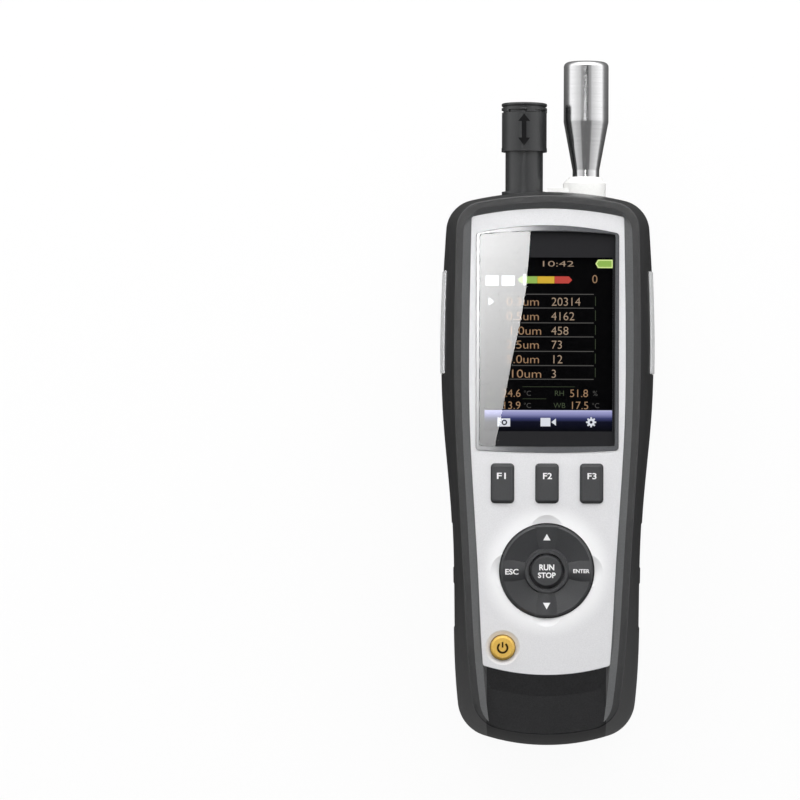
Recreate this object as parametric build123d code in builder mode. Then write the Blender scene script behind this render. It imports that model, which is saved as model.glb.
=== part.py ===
from build123d import *
import os
from math import sqrt

# Handheld airborne particle counter, lying on its back. +Z is up through the display, +Y runs from the
# rounded foot to the mouth of the sampling nozzle and +X is to the right of the display. Millimetres.

# Case: two hard covers with a rubber skin moulded over each.
case_width = 74.6
case_length = 193.8
case_depth = 57.0
nozzle_reach = 45.9
belt_height = 28.5
rubber_wall = 1.6
cover_wall = 2.2
back_edge_radius = 5.5
side_levels = (0, 0.5, 0.8, 1)
top_corner_radius = 11.0
bottom_corner_radius = 13.0
crown_radius = 120.0
foot_radius = 72.0

# The sides, from the crown to the foot: places above the foot, and how far each is inside the widest place.
side_stations = (150.0, 115.0, 85.0, 60.0, 30.0)
belt_narrowing = (2.25, 0.15, 0.7, 3.4, 4.5, 5.05, 7.3)
rim_narrowing = (8.55, 7.8, 8.1, 9.7, 11.15, 13.0, 15.7)
plate_narrowing = (11.1, 10.5, 10.65, 12.25, 13.8, 15.5, 18.25)
rim_top_drop = 2.6
rim_foot_rise = 6.3
rim_width = 2.4
pad_slope = 13.0
crest_curve = 2.0
crest_corner_loss = 1.5
crest_round = 0.45

# Face: the slope inside the rim, the silver plate and the window.
slope_drop = 1.4
plate_thickness = 1.2
plate_gap = 0.15
plate_top_margin = 7.1
plate_length = 160.1
plate_foot_radius = 75.0
plate_corner = 1.0
bezel_width = 48.8
bezel_length = 77.9
bezel_drop = 5.85
bezel_side = 1.0
bezel_end = 1.75
bezel_rise = 0.3
bezel_arch_radius = 110.0
bezel_foot_radius = 340.0
lens_arch_radius = 250.0
lens_foot_radius = 900.0
lens_thickness = 1.1
window_corner = 1.2
lcd_view_width = 44.8
lcd_view_length = 60.8
lcd_drop = 53.7
lcd_width = 50.0
lcd_length = 69.2
lcd_thickness = 2.6
lcd_frame_lip = 1.0

# Keys, measured down from the crown of the case.
key_rise = 1.3
key_gap = 0.3
key_flange = 0.7
key_flange_thickness = 0.95
key_bevel = 0.75
key_corner = 1.1
key_play = 0.05
function_key_width = 7.5
function_key_length = 13.15
function_key_pitch = 15.3
function_key_drop = 101.5
power_key_radius = 4.15
power_key_x = -15.05
power_key_drop = 157.9
power_dish_radius = 6.0
power_dish_depth = 0.9
nav_drop = 131.5
nav_radius = 15.9
nav_gap = 0.5
nav_bore_radius = 6.25
nav_wall = 1.75
nav_plate = 2.0
nav_flange = 1.35
nav_flange_thickness = 0.8
nav_flange_clearance = 1.0
nav_rim_drop = 0.35
nav_dish = 0.8
nav_dish_wall = 0.5
pad_inner_width = 5.0
pad_outer_width = 9.1
pad_inner_drop = 0.55
pad_arch = 0.45
collar_wall = 1.2
run_key_radius = 5.65
run_flange_radius = 7.3
run_flange_gap = 0.45
scoop_reach = 3.3
scoop_radius = 5.9
scoop_depth = 0.9
gimbal_radius = 11.5
gimbal_wall = 2.0
gimbal_height = 1.6
pivot_radius = 0.5
pivot_clearance = 0.05
post_radius = 8.9
post_wall = 1.0
gimbal_gap = 0.1
lug_gap = 0.5
lug_wall = 1.4
lug_width = 3.0
mat_thickness = 1.0
mat_depth = 2.9
dome_radius = 2.4
dome_height = 0.6

# Boards and the bosses that hold them.
board_thickness = 1.6
board_boss_radius = 1.9
board_screw_radius = 0.9
screw_head_radius = 1.6
screw_head_height = 1.2
screw_grip = 3.4
key_board_width = 47.0
key_board_top_drop = 94.5
key_board_foot_drop = 167.3
key_boss_x = 21.0
key_boss_drops = (111.8, 164.3)
main_board_width = 52.0
main_board_top_drop = 13.0
main_board_notch_width = 6.6
main_board_notch_length = 2.4
main_board_foot_drop = 94.6
main_board_depth = 9.6
main_boss_x = 14.0
main_boss_drop = 15.2
main_foot_boss_x = 22.0
main_foot_boss_drop = 91.3
chip_thickness = 1.4
# Each chip: its place from the middle of the main board, its width and its length.
chips = (
    (-12.0, 10.0, 12.0, 12.0),
    (-10.0, -15.0, 14.0, 9.0),
    (4.0, 32.0, 7.0, 5.0),
    (12.0, -32.0, 9.0, 6.0),
)

# Ports under the main board, behind a hinged door on each side.
door_length = 35.5
door_top_drop = 28.1
door_foot_height = 14.7
door_head_height = 43.9
door_proud = 0.35
door_depth = 1.8
door_gap = 0.25
door_floor_gap = 0.3
hinge_inset = 0.9
hinge_height = 16.2
hinge_barrel_radius = 0.9
hinge_pin_radius = 0.5
knuckle_length = 2.8
knuckle_gap = 0.3
port_reach = 33.1
port_gap = 0.2
usb_width = 7.7
usb_height = 3.9
usb_depth = 8.5
usb_drop = 54.8
card_width = 14.0
card_height = 1.8
card_depth = 13.5
card_drop = 38.8
jack_width = 9.0
jack_depth = 8.0
jack_nose_radius = 3.0
jack_bore_radius = 2.75
jack_pin_radius = 0.7
jack_drop = 45.8
socket_wall = 0.45

# Grip panels let into the skin on each side.
panel_depth = 0.25
panel_drops = (115.8, 136.8)
panel_length = 16.0
panel_foot_height = 15.0
panel_head_height = 43.0
panel_corner = 2.0

# Inlet: nozzle, white collar, spigot and ring.
nozzle_x = 13.3
nozzle_radius = 7.9
nozzle_barrel = 21.0
nozzle_cone = 17.0
nozzle_neck_radius = 4.7
nozzle_neck = 2.5
nozzle_mouth_radius = 5.6
nozzle_lip = 1.8
nozzle_throat_radius = 1.8
nozzle_mouth_depth = 19.0
nozzle_taper_depth = 31.0
spigot_radius = 3.0
spigot_bore = 1.8
spigot_clearance = 0.06
spigot_reach = 7.2
ring_section = 0.55
ring_from_top = 3.0
inlet_collar_radius = 7.5
inlet_collar_x = 12.8
inlet_collar_rise = 5.4
inlet_collar_neck_radius = 5.6
inlet_collar_shoulder = 2.2
inlet_collar_root = 5.2
saddle_rise = 1.4
saddle_half_depth = 5.0
saddle_side_gap = 0.3

# Climate probe: post, cage, cap and the sleeve that slides down to open the cage.
probe_x = -8.4
post_outer_radius = 6.6
post_bore_radius = 5.0
post_reach = 28.1
post_root = 5.6
probe_flange_radius = 7.85
probe_flange_rise = 0.2
probe_flange_thickness = 0.9
root_flange_radius = 8.2
root_flange_thickness = 2.0
cage_slot_width = 1.8
cage_slots = 8
cage_top_gap = 1.2
cage_length = 11.0
sleeve_radius = 8.0
sleeve_clearance = 0.075
sleeve_length = 13.65
sleeve_band_height = 1.3
sleeve_band_step = 0.12
sleeve_gap = 0.15
cap_height = 3.15
cap_disc = 1.1
cap_groove = 0.55
cap_groove_depth = 0.5
cap_round = 0.4
cap_slots = 5
cap_slot_height = 0.75
cap_slot_depth = 0.6
cap_rib_width = 3.0
cap_plug = 3.0
element_width = 6.0
element_thickness = 1.0
element_length = 15.0
element_chip = 2.6

# Air path inside: sensing block, laser, detector, tubes, pump and filter.
block_width = 27.0
block_length = 28.0
block_height = 22.0
block_left = 0.0
block_top_drop = 25.8
block_foot_height = 14.0
detector_bore = 3.0
laser_radius = 4.5
laser_length = 18.0
laser_bore = 2.0
detector_size = 12.0
detector_thickness = 1.6
tube_radius = 3.0
tube_bore = 1.8
pump_head_size = 24.0
pump_head_length = 14.0
pump_height = 25.0
tube_gap_length = 8.0
motor_radius = 10.0
motor_length = 22.0
filter_radius = 8.0
filter_length = 24.0
filter_x = -14.0
filter_drop = 79.0
exhaust_bend = 6.0

# Power and what else opens on the back.
pack_width = 37.0
pack_length = 66.0
pack_height = 19.0
pack_top_drop = 104.5
pack_floor_gap = 0.2
pack_corner = 6.0
pack_side_gap = 1.0
rib_thickness = 1.6
rib_height = 8.0
hatch_width = 46.0
hatch_length = 77.0
hatch_thickness = 2.2
hatch_gap = 0.2
hatch_top_drop = 96.5
hatch_corner = 3.0
hatch_screw_inset = 3.2
hatch_boss_radius = 3.0
hatch_boss_height = 8.0
tripod_drop = 82.0
tripod_insert_radius = 4.8
tripod_insert_height = 9.0
tripod_bore_radius = 2.55
tripod_bore_depth = 7.5
tripod_boss_wall = 1.8
tripod_recess = 0.2
camera_x = -12.0
camera_drop = 21.0
camera_window_radius = 6.0
camera_window_thickness = 1.0
camera_sill = 0.6
camera_size = 9.0
camera_height = 6.0
camera_bore_radius = 3.4
speaker_x = -16.0
speaker_drop = 50.0
speaker_radius = 8.0
speaker_height = 3.5
speaker_slot_width = 1.2
speaker_slot_length = 11.0
speaker_slot_pitch = 2.6
speaker_slots = 5
housing_screw_head_x = 23.5
housing_screw_head_drop = 11.3
housing_screw_foot_x = 20.0
housing_screw_foot_drop = 177.8
housing_post_radius = 4.2
housing_bore_radius = 3.1
housing_bore_depth = 16.0
housing_head_radius = 2.75
housing_head_height = 2.4
housing_screw_radius = 1.5
housing_screw_length = 22.0
housing_screw_clearance = 0.1
housing_boss_radius = 2.8

# Places that follow from the sizes above.
overall_length = case_length + nozzle_reach
foot_y = -overall_length / 2
crown_y = foot_y + case_length
mouth_y = crown_y + nozzle_reach
case_wall = rubber_wall + cover_wall
plate_top_z = case_depth - slope_drop
deck_top_z = plate_top_z - plate_thickness
deck_foot_z = case_depth - case_wall
key_top_z = plate_top_z + key_rise
mat_top_z = deck_foot_z - mat_depth
key_board_z = mat_top_z - mat_thickness - board_thickness
main_board_z = deck_foot_z - main_board_depth - board_thickness
plate_top_y = crown_y - plate_top_margin
plate_foot_y = plate_top_y - plate_length
bezel_top_y = plate_top_y - bezel_drop
bezel_foot_y = bezel_top_y - bezel_length
lens_width = bezel_width - 2 * bezel_side
lcd_y = crown_y - lcd_drop
nav_y = crown_y - nav_drop
power_y = crown_y - power_key_drop
function_y = crown_y - function_key_drop
key_flange_top_z = deck_foot_z - key_play
nav_flange_top_z = deck_foot_z - nav_flange_clearance
pivot_z = nav_flange_top_z + nav_flange_thickness / 2
door_y = crown_y - door_top_drop - door_length / 2
hinge_x = case_width / 2 - hinge_inset
block_top_y = crown_y - block_top_drop
block_foot_y = block_top_y - block_length
block_x = block_left + block_width / 2
pump_top_y = block_foot_y - tube_gap_length
pump_foot_y = pump_top_y - pump_head_length
pack_y = crown_y - pack_top_drop - pack_length / 2
hatch_y = crown_y - hatch_top_drop - hatch_length / 2
post_top_y = crown_y + post_reach
nozzle_foot_y = mouth_y - nozzle_barrel - nozzle_cone - nozzle_neck
spigot_top_y = nozzle_foot_y + spigot_reach
key_places = [(-function_key_pitch, function_y), (0, function_y), (function_key_pitch, function_y)]
main_boss_places = [
    (-main_boss_x, crown_y - main_boss_drop),
    (main_boss_x, crown_y - main_boss_drop),
    (-main_foot_boss_x, crown_y - main_foot_boss_drop),
    (main_foot_boss_x, crown_y - main_foot_boss_drop),
]
key_boss_places = [(side * key_boss_x, crown_y - drop) for side in (-1, 1) for drop in key_boss_drops]
housing_places = [(side * housing_screw_head_x, crown_y - housing_screw_head_drop) for side in (-1, 1)]
housing_places += [(side * housing_screw_foot_x, crown_y - housing_screw_foot_drop) for side in (-1, 1)]

os.makedirs("parts", exist_ok=True)


def finish(builder, name):
    builder.part.label = name
    export_step(builder.part, f"parts/{name}.step")


# A plane at a point, facing the nozzle end, with its own x along the case's X.
def across(x, y, z):
    return Plane(origin=(x, y, z), x_dir=(1, 0, 0), z_dir=(0, 1, 0))


# A plane at a point, facing the right side, with its own x along the case's Y.
def sideways(x, y, z):
    return Plane(origin=(x, y, z), x_dir=(0, 1, 0), z_dir=(1, 0, 0))


def arc_drop(radius, half_chord):
    return radius - sqrt(radius**2 - half_chord**2)


# The outline that every level of the case and its face shares: an arched crown, two long curved sides
# and an arched foot, with its corners rounded.
def case_outline(narrowing, inset, top_y, bottom_y, top_corner, bottom_corner):
    widths = [case_width / 2 - narrow - inset for narrow in narrowing]
    shoulder = (widths[0], top_y - arc_drop(crown_radius, widths[0]))
    heel = (widths[-1], bottom_y + arc_drop(foot_radius, widths[-1]))
    stations = [(width, foot_y + station) for width, station in zip(widths[1:-1], side_stations)]
    right = [shoulder, *stations, heel]
    left = [(-x, y) for x, y in right]
    with BuildSketch() as outline:
        with BuildLine():
            ThreePointArc(left[0], (0, top_y), right[0])
            Spline(*right)
            ThreePointArc(right[-1], (0, bottom_y), left[-1])
            Spline(*left)
        make_face()
        fillet(outline.vertices().group_by(Axis.Y)[-1], top_corner)
        fillet(outline.vertices().group_by(Axis.Y)[0], bottom_corner)
    return outline.sketch


# The outer form, or the same form with a wall of this thickness taken off all round. Its sides are
# upright on a rounded back edge, and above the belt they lean in to the crest.
def case_body(inset):
    top_corner = top_corner_radius - inset
    bottom_corner = bottom_corner_radius - inset
    with BuildPart() as body:
        with BuildSketch(Plane.XY.offset(inset)):
            ends = (crown_y - inset, foot_y + inset)
            add(case_outline(belt_narrowing, inset, *ends, top_corner, bottom_corner))
        extrude(amount=belt_height - inset)
        fillet(body.edges().group_by(Axis.Z)[0], back_edge_radius - inset)
        for share in side_levels:
            rise = share**crest_curve
            narrowing = [
                belt + rise * (rim - rim_width - belt) for belt, rim in zip(belt_narrowing, rim_narrowing)
            ]
            ends = (crown_y - rim_top_drop * rise - inset, foot_y + rim_foot_rise * rise + inset)
            corner_loss = crest_corner_loss * rise
            corners = (top_corner - corner_loss, bottom_corner - corner_loss)
            height = belt_height + share * (case_depth - belt_height - inset)
            with BuildSketch(Plane.XY.offset(height)):
                add(case_outline(narrowing, inset, *ends, *corners))
        loft()
    return body.part


# The edge of the silver plate, which runs on down both sides of the foot pad.
def plate_outline(inset, bottom_y):
    return case_outline(plate_narrowing, inset, plate_top_y - inset, bottom_y, plate_corner, plate_corner)


# The silver plate's own outline: the same edge, cut across its foot by a shallow arc.
def plate_shape(inset):
    half = case_width / 2
    heel = plate_foot_y + inset + arc_drop(plate_foot_radius, half)
    with BuildSketch() as shape:
        with BuildLine():
            ThreePointArc((-half, heel), (0, plate_foot_y + inset), (half, heel))
            Polyline((half, heel), (half, crown_y), (-half, crown_y), (-half, heel))
        make_face()
        add(plate_outline(inset, foot_y + rim_foot_rise), mode=Mode.INTERSECT)
        fillet(shape.vertices().group_by(Axis.Y)[0], plate_corner)
    return shape.sketch


# The window ring and the lens in it share this kind of shape: straight sides between two arched ends.
def window_shape(width, top_y, bottom_y, top_radius, foot_radius):
    half = width / 2
    shoulder_y = top_y - arc_drop(top_radius, half)
    heel_y = bottom_y + arc_drop(foot_radius, half)
    with BuildSketch() as shape:
        with BuildLine():
            ThreePointArc((-half, shoulder_y), (0, top_y), (half, shoulder_y))
            Line((half, shoulder_y), (half, heel_y))
            ThreePointArc((half, heel_y), (0, bottom_y), (-half, heel_y))
            Line((-half, heel_y), (-half, shoulder_y))
        make_face()
        fillet(shape.vertices(), window_corner)
    return shape.sketch


def bezel_shape(margin):
    ends = (bezel_top_y + margin, bezel_foot_y - margin)
    return window_shape(bezel_width + 2 * margin, *ends, bezel_arch_radius, bezel_foot_radius)


def lens_shape(margin):
    ends = (bezel_top_y - bezel_end + margin, bezel_foot_y + bezel_end - margin)
    return window_shape(lens_width + 2 * margin, *ends, lens_arch_radius, lens_foot_radius)


# A function key's cap, about its own middle, or the same shape with a margin all round.
def key_shape(margin):
    width = function_key_width + 2 * margin
    length = function_key_length + 2 * margin
    with BuildSketch() as shape:
        RectangleRounded(width, length, key_corner + margin)
    return shape.sketch


def prism(sketch, bottom_z, top_z):
    with BuildPart() as solid:
        with BuildSketch(Plane.XY.offset(bottom_z)):
            add(sketch)
        extrude(amount=top_z - bottom_z)
    return solid.part


def disc(x, y, radius, bottom_z, top_z):
    with BuildPart() as solid:
        with BuildSketch(Plane.XY.offset(bottom_z)):
            with Locations((x, y)):
                Circle(radius)
        extrude(amount=top_z - bottom_z)
    return solid.part


def block(x, y, width, length, bottom_z, top_z):
    with BuildPart() as solid:
        with BuildSketch(Plane.XY.offset(bottom_z)):
            with Locations((x, y)):
                Rectangle(width, length)
        extrude(amount=top_z - bottom_z)
    return solid.part


def rod(x, bottom_y, top_y, radius, z=belt_height):
    with BuildPart() as solid:
        with BuildSketch(across(x, bottom_y, z)):
            Circle(radius)
        extrude(amount=top_y - bottom_y)
    return solid.part


with BuildPart() as outer_body:
    add(case_body(0))
    fillet(outer_body.edges().group_by(Axis.Z)[-1], crest_round)
outer_form = outer_body.part
cover_form = case_body(rubber_wall)
inner_form = case_body(case_wall)
front_half = block(0, 0, 2 * case_width, 2 * overall_length, belt_height, 2 * case_depth)
rear_half = block(0, 0, 2 * case_width, 2 * overall_length, -case_depth, belt_height)

# The face opening in the skin: inside the rim, apart from the pad at the foot.
rim_shape = case_outline(
    rim_narrowing,
    0,
    crown_y - rim_top_drop - rim_width,
    foot_y + rim_foot_rise,
    top_corner_radius - rim_width,
    bottom_corner_radius - rim_width,
)
rim_foot_y = foot_y + rim_foot_rise
pad_top_y = plate_foot_y - plate_gap
with BuildSketch() as pad_sketch:
    add(plate_outline(0, rim_foot_y - rim_width))
    with BuildLine():
        heel = pad_top_y + arc_drop(plate_foot_radius, case_width / 2)
        ThreePointArc((-case_width / 2, heel), (0, pad_top_y), (case_width / 2, heel))
        Polyline(
            (case_width / 2, heel),
            (case_width / 2, foot_y - case_width),
            (-case_width / 2, foot_y - case_width),
            (-case_width / 2, heel),
        )
    make_face(mode=Mode.INTERSECT)
pad_form = prism(pad_sketch.sketch, deck_top_z, case_depth + rim_width)
face_opening = prism(rim_shape, case_depth - rubber_wall, case_depth + rim_width) - pad_form
with BuildPart() as slope_form:
    with BuildSketch(Plane.XY.offset(plate_top_z)):
        add(plate_outline(0, rim_foot_y + pad_slope))
    with BuildSketch(Plane.XY.offset(case_depth)):
        add(rim_shape)
    loft()
    with BuildSketch(Plane.XY.offset(case_depth)):
        add(rim_shape)
    extrude(amount=rim_width)

# What passes out through the crown, half in each cover: the probe's post and the inlet's collar.
post_root_y = crown_y - post_root
probe_flange_y = crown_y + probe_flange_rise
past_crown_y = crown_y + rubber_wall
crown_cut = rod(probe_x, post_root_y - cover_wall, past_crown_y, post_outer_radius)
crown_cut += rod(probe_x, probe_flange_y - probe_flange_thickness, past_crown_y, probe_flange_radius)
saddle_left_x = probe_x + probe_flange_radius + saddle_side_gap
saddle_width = inlet_collar_x - saddle_left_x
collar_root_y = crown_y - inlet_collar_root
collar_cut = rod(inlet_collar_x, collar_root_y, past_crown_y, inlet_collar_radius)
with BuildPart() as saddle_cut:
    with BuildSketch(across(saddle_left_x + saddle_width / 2, collar_root_y, belt_height)):
        Rectangle(saddle_width, 2 * saddle_half_depth)
    extrude(amount=past_crown_y - collar_root_y)
crown_cut += collar_cut + saddle_cut.part

# Port doors and what lies behind them.
door_skin = case_body(-door_proud) - case_body(door_depth)
door_floor = case_body(door_depth + door_floor_gap)
usb_y = crown_y - usb_drop
card_y = crown_y - card_drop
jack_y = crown_y - jack_drop
jack_z = main_board_z - jack_width / 2
door_foot_z = hinge_height - hinge_barrel_radius
knuckle_ys = [door_y + side * (door_length / 2 - knuckle_length / 2) for side in (-1, 1)]


def door_recess(side):
    with BuildPart() as recess:
        with BuildSketch(Plane.XY.offset(door_foot_height)):
            with Locations((side * case_width / 2, door_y)):
                Rectangle(case_width / 2, door_length + 2 * door_gap)
        extrude(amount=door_head_height + door_gap - door_foot_height)
    return recess.part - door_floor


def knuckles(side):
    near = case_width / 2 - case_wall
    width = hinge_x - near
    top = hinge_height + hinge_barrel_radius
    half = knuckle_length / 2
    solids = []
    for y in knuckle_ys:
        solids.append(block(side * (near + width / 2), y, width, knuckle_length, door_foot_z, top))
        solids.append(rod(side * hinge_x, y - half, y + half, hinge_barrel_radius, hinge_height))
    return solids


def port_door(side):
    with BuildPart() as door:
        with BuildSketch(Plane.XY.offset(hinge_height)):
            with Locations((side * case_width / 2, door_y)):
                Rectangle(case_width / 2, door_length)
        extrude(amount=door_head_height - hinge_height)
        add(door_skin, mode=Mode.INTERSECT)
        with BuildSketch(across(side * hinge_x, door_y - door_length / 2, hinge_height)):
            Circle(hinge_barrel_radius)
        extrude(amount=door_length)
        notch = hinge_barrel_radius + knuckle_gap
        for y in knuckle_ys:
            length = knuckle_length + 2 * knuckle_gap
            add(
                block(side * hinge_x, y, 2 * case_wall, length, hinge_height - notch, hinge_height + notch),
                mode=Mode.SUBTRACT,
            )
        with BuildSketch(across(side * hinge_x, door_y - door_length / 2, hinge_height)):
            Circle(hinge_pin_radius + pivot_clearance)
        extrude(amount=door_length, mode=Mode.SUBTRACT)
    return door


def hinge_pin(side):
    with BuildPart() as pin:
        with BuildSketch(across(side * hinge_x, door_y - door_length / 2, hinge_height)):
            Circle(hinge_pin_radius)
        extrude(amount=door_length)
    return pin


def port_hole(y, width, height):
    x = case_width / 2 - case_wall
    bottom_z = main_board_z - height - port_gap
    return block(x, y, 4 * case_wall, width + 2 * port_gap, bottom_z, main_board_z + port_gap)


port_holes = [port_hole(usb_y, usb_width, usb_height), port_hole(card_y, card_width, card_height)]
with BuildPart() as jack_hole:
    with BuildSketch(sideways(-case_width / 2, jack_y, jack_z)):
        Circle(jack_nose_radius + port_gap)
    extrude(amount=case_width / 4)
port_holes.append(jack_hole.part)

# Shallow panels in the skin of each side, for the fingers.
panel_floor = case_body(panel_depth)
panel_cuts = []
for side in (-1, 1):
    for drop in panel_drops:
        start_x = side * (case_width / 2 - case_wall) - case_wall
        with BuildPart() as panel:
            with BuildSketch(sideways(start_x, crown_y - drop - panel_length / 2, 0)):
                with Locations((0, (panel_foot_height + panel_head_height) / 2)):
                    RectangleRounded(panel_length, panel_head_height - panel_foot_height, panel_corner)
            extrude(amount=2 * case_wall)
        panel_cuts.append(panel.part - panel_floor)

# What opens on the back.
tripod_y = crown_y - tripod_drop
camera_y = crown_y - camera_drop
speaker_y = crown_y - speaker_drop
hatch_screw_y = hatch_y + hatch_length / 2 - hatch_screw_inset
window_seat_z = camera_sill + camera_window_thickness
with BuildPart() as hatch_seat:
    with BuildSketch(Plane.XY):
        with Locations((0, hatch_y)):
            RectangleRounded(hatch_width + 2 * hatch_gap, hatch_length + 2 * hatch_gap, hatch_corner)
    extrude(amount=hatch_thickness)
with BuildPart() as speaker_cut:
    with BuildSketch(Plane.XY.offset(-case_wall)):
        with Locations((speaker_x, speaker_y)):
            with GridLocations(speaker_slot_pitch, 0, speaker_slots, 1):
                SlotOverall(speaker_slot_length, speaker_slot_width, rotation=90)
    extrude(amount=3 * case_wall)
back_cuts = [hatch_seat.part, speaker_cut.part]
back_cuts.append(disc(0, tripod_y, tripod_insert_radius, -case_wall, tripod_recess + tripod_insert_height))
back_cuts.append(disc(camera_x, camera_y, camera_window_radius + plate_gap, -case_wall, window_seat_z))
back_cuts += [disc(x, y, housing_bore_radius, -case_wall, housing_bore_depth) for x, y in housing_places]


# Skins and covers.
with BuildPart() as front_grip:
    add(outer_form)
    add(cover_form, mode=Mode.SUBTRACT)
    add(front_half, mode=Mode.INTERSECT)
    add(face_opening, mode=Mode.SUBTRACT)
    add(pad_form & outer_form)
    add(slope_form.part, mode=Mode.SUBTRACT)
    for cut in (crown_cut, door_recess(1), door_recess(-1), *panel_cuts):
        add(cut, mode=Mode.SUBTRACT)
finish(front_grip, "front_grip")

with BuildPart() as rear_grip:
    add(outer_form)
    add(cover_form, mode=Mode.SUBTRACT)
    add(rear_half, mode=Mode.INTERSECT)
    for cut in (crown_cut, door_recess(1), door_recess(-1), *panel_cuts, *back_cuts):
        add(cut, mode=Mode.SUBTRACT)
finish(rear_grip, "rear_grip")

with BuildPart() as front_cover:
    add(cover_form)
    add(inner_form, mode=Mode.SUBTRACT)
    add(front_half, mode=Mode.INTERSECT)
    add(pad_form, mode=Mode.SUBTRACT)
    add(face_opening - slope_form.part)
    add(prism(plate_shape(-plate_gap), deck_top_z, case_depth), mode=Mode.SUBTRACT)
    for x, y in housing_places:
        add(disc(x, y, housing_boss_radius, belt_height, deck_foot_z + cover_wall / 2) & cover_form)
    for x, y in main_boss_places:
        add(disc(x, y, board_boss_radius, main_board_z + board_thickness, deck_foot_z))
    for x, y in key_boss_places:
        add(disc(x, y, board_boss_radius, key_board_z + board_thickness, deck_foot_z))
    for cut in (crown_cut, door_recess(1), door_recess(-1), *port_holes):
        add(cut, mode=Mode.SUBTRACT)
    for x, y in housing_places:
        add(disc(x, y, housing_screw_radius, 0, belt_height + housing_screw_length / 2), mode=Mode.SUBTRACT)
    for x, y in main_boss_places + key_boss_places:
        add(disc(x, y, board_screw_radius, belt_height, deck_foot_z), mode=Mode.SUBTRACT)
    with BuildSketch(Plane.XY.offset(deck_foot_z)):
        with Locations((0, lcd_y)):
            Rectangle(lcd_view_width, lcd_view_length)
        with Locations(*key_places):
            add(key_shape(key_gap))
        with Locations((0, nav_y)):
            Circle(nav_radius + nav_gap)
        with Locations((power_key_x, power_y)):
            Circle(power_key_radius + key_gap)
    extrude(amount=cover_wall, mode=Mode.SUBTRACT)
finish(front_cover, "front_cover")

pack_well_width = pack_width + 2 * pack_side_gap
pack_well_length = pack_length + 2 * pack_side_gap
pump_x = nozzle_x
exhaust_y = pump_foot_y + pump_head_length / 2
filter_top_y = crown_y - filter_drop
filter_y = filter_top_y - filter_length / 2
pump_seat_z = pump_height - pump_head_size / 2
filter_seat_z = pump_height - filter_radius
saddles = [
    (block_x, block_top_y - block_length / 4, rib_thickness, block_length / 2, block_foot_height),
    (block_x, block_foot_y + rib_thickness, block_width, rib_thickness, block_foot_height),
    (pump_x, exhaust_y, pump_head_size, rib_thickness, pump_seat_z),
    (filter_x, filter_y, filter_radius, rib_thickness, filter_seat_z),
]
with BuildPart() as rear_cover:
    add(cover_form)
    add(inner_form, mode=Mode.SUBTRACT)
    add(rear_half, mode=Mode.INTERSECT)
    for x, y in housing_places:
        add(disc(x, y, housing_post_radius, 0, belt_height) & cover_form)
    tripod_top_z = tripod_recess + tripod_insert_height + rib_thickness
    add(disc(0, tripod_y, tripod_insert_radius + tripod_boss_wall, case_wall, tripod_top_z))
    add(disc(0, hatch_screw_y, hatch_boss_radius, case_wall, case_wall + hatch_boss_height))
    for x, y, width, length, top in saddles:
        add(block(x, y, width, length, case_wall - rib_thickness / 2, top))
    with BuildSketch(Plane.XY.offset(case_wall - rib_thickness / 2)):
        with Locations((0, pack_y)):
            Rectangle(pack_well_width + 2 * rib_thickness, pack_well_length + 2 * rib_thickness)
    extrude(amount=rib_height)
    add(block(0, pack_y, pack_well_width, pack_well_length, 0, case_wall + rib_height), mode=Mode.SUBTRACT)
    for cut in (crown_cut, door_recess(1), door_recess(-1), port_holes[-1], *back_cuts):
        add(cut, mode=Mode.SUBTRACT)
    add(disc(camera_x, camera_y, camera_bore_radius, 0, case_wall), mode=Mode.SUBTRACT)
    add(disc(0, hatch_screw_y, board_screw_radius, 0, case_wall + hatch_boss_height), mode=Mode.SUBTRACT)
    for x, y in housing_places:
        hole = housing_screw_radius + housing_screw_clearance
        add(disc(x, y, hole, 0, belt_height), mode=Mode.SUBTRACT)
    for side in (-1, 1):
        for knuckle in knuckles(side):
            add(knuckle)
        add(hinge_pin(side).part, mode=Mode.SUBTRACT)
finish(rear_cover, "rear_cover")

# Silver plate, window ring and lens.
scoop_sphere = (scoop_radius**2 + scoop_depth**2) / (2 * scoop_depth)
scoop_places = [(0, 1), (0, -1), (1, 0), (-1, 0)]
with BuildPart() as faceplate:
    with BuildSketch(Plane.XY.offset(deck_top_z)):
        add(plate_shape(0))
        add(bezel_shape(plate_gap), mode=Mode.SUBTRACT)
        with Locations(*key_places):
            add(key_shape(key_gap), mode=Mode.SUBTRACT)
        with Locations((0, nav_y)):
            Circle(nav_radius + nav_gap, mode=Mode.SUBTRACT)
        with Locations((power_key_x, power_y)):
            Circle(power_key_radius + key_gap, mode=Mode.SUBTRACT)
    extrude(amount=plate_thickness)
    reach = nav_radius + scoop_reach - scoop_radius
    scoop_z = plate_top_z + scoop_sphere - scoop_depth
    with Locations(*[(reach * along, nav_y + reach * up, scoop_z) for along, up in scoop_places]):
        Sphere(scoop_sphere, mode=Mode.SUBTRACT)
    with Locations((power_key_x, power_y, plate_top_z - power_dish_depth / 2)):
        Cone(power_key_radius, power_dish_radius, power_dish_depth, mode=Mode.SUBTRACT)
finish(faceplate, "faceplate")

with BuildPart() as display_bezel:
    with BuildSketch(Plane.XY.offset(deck_top_z)):
        add(bezel_shape(0))
        add(lens_shape(0), mode=Mode.SUBTRACT)
    extrude(amount=plate_thickness + bezel_rise)
finish(display_bezel, "display_bezel")

with BuildPart() as display_lens:
    with BuildSketch(Plane.XY.offset(deck_top_z)):
        add(lens_shape(-plate_gap))
    extrude(amount=lens_thickness)
finish(display_lens, "display_lens")

with BuildPart() as lcd_panel:
    with BuildSketch(Plane.XY.offset(deck_foot_z - lcd_thickness)):
        with Locations((0, lcd_y)):
            Rectangle(lcd_width, lcd_length)
    extrude(amount=lcd_thickness)
finish(lcd_panel, "lcd_panel")

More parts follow.
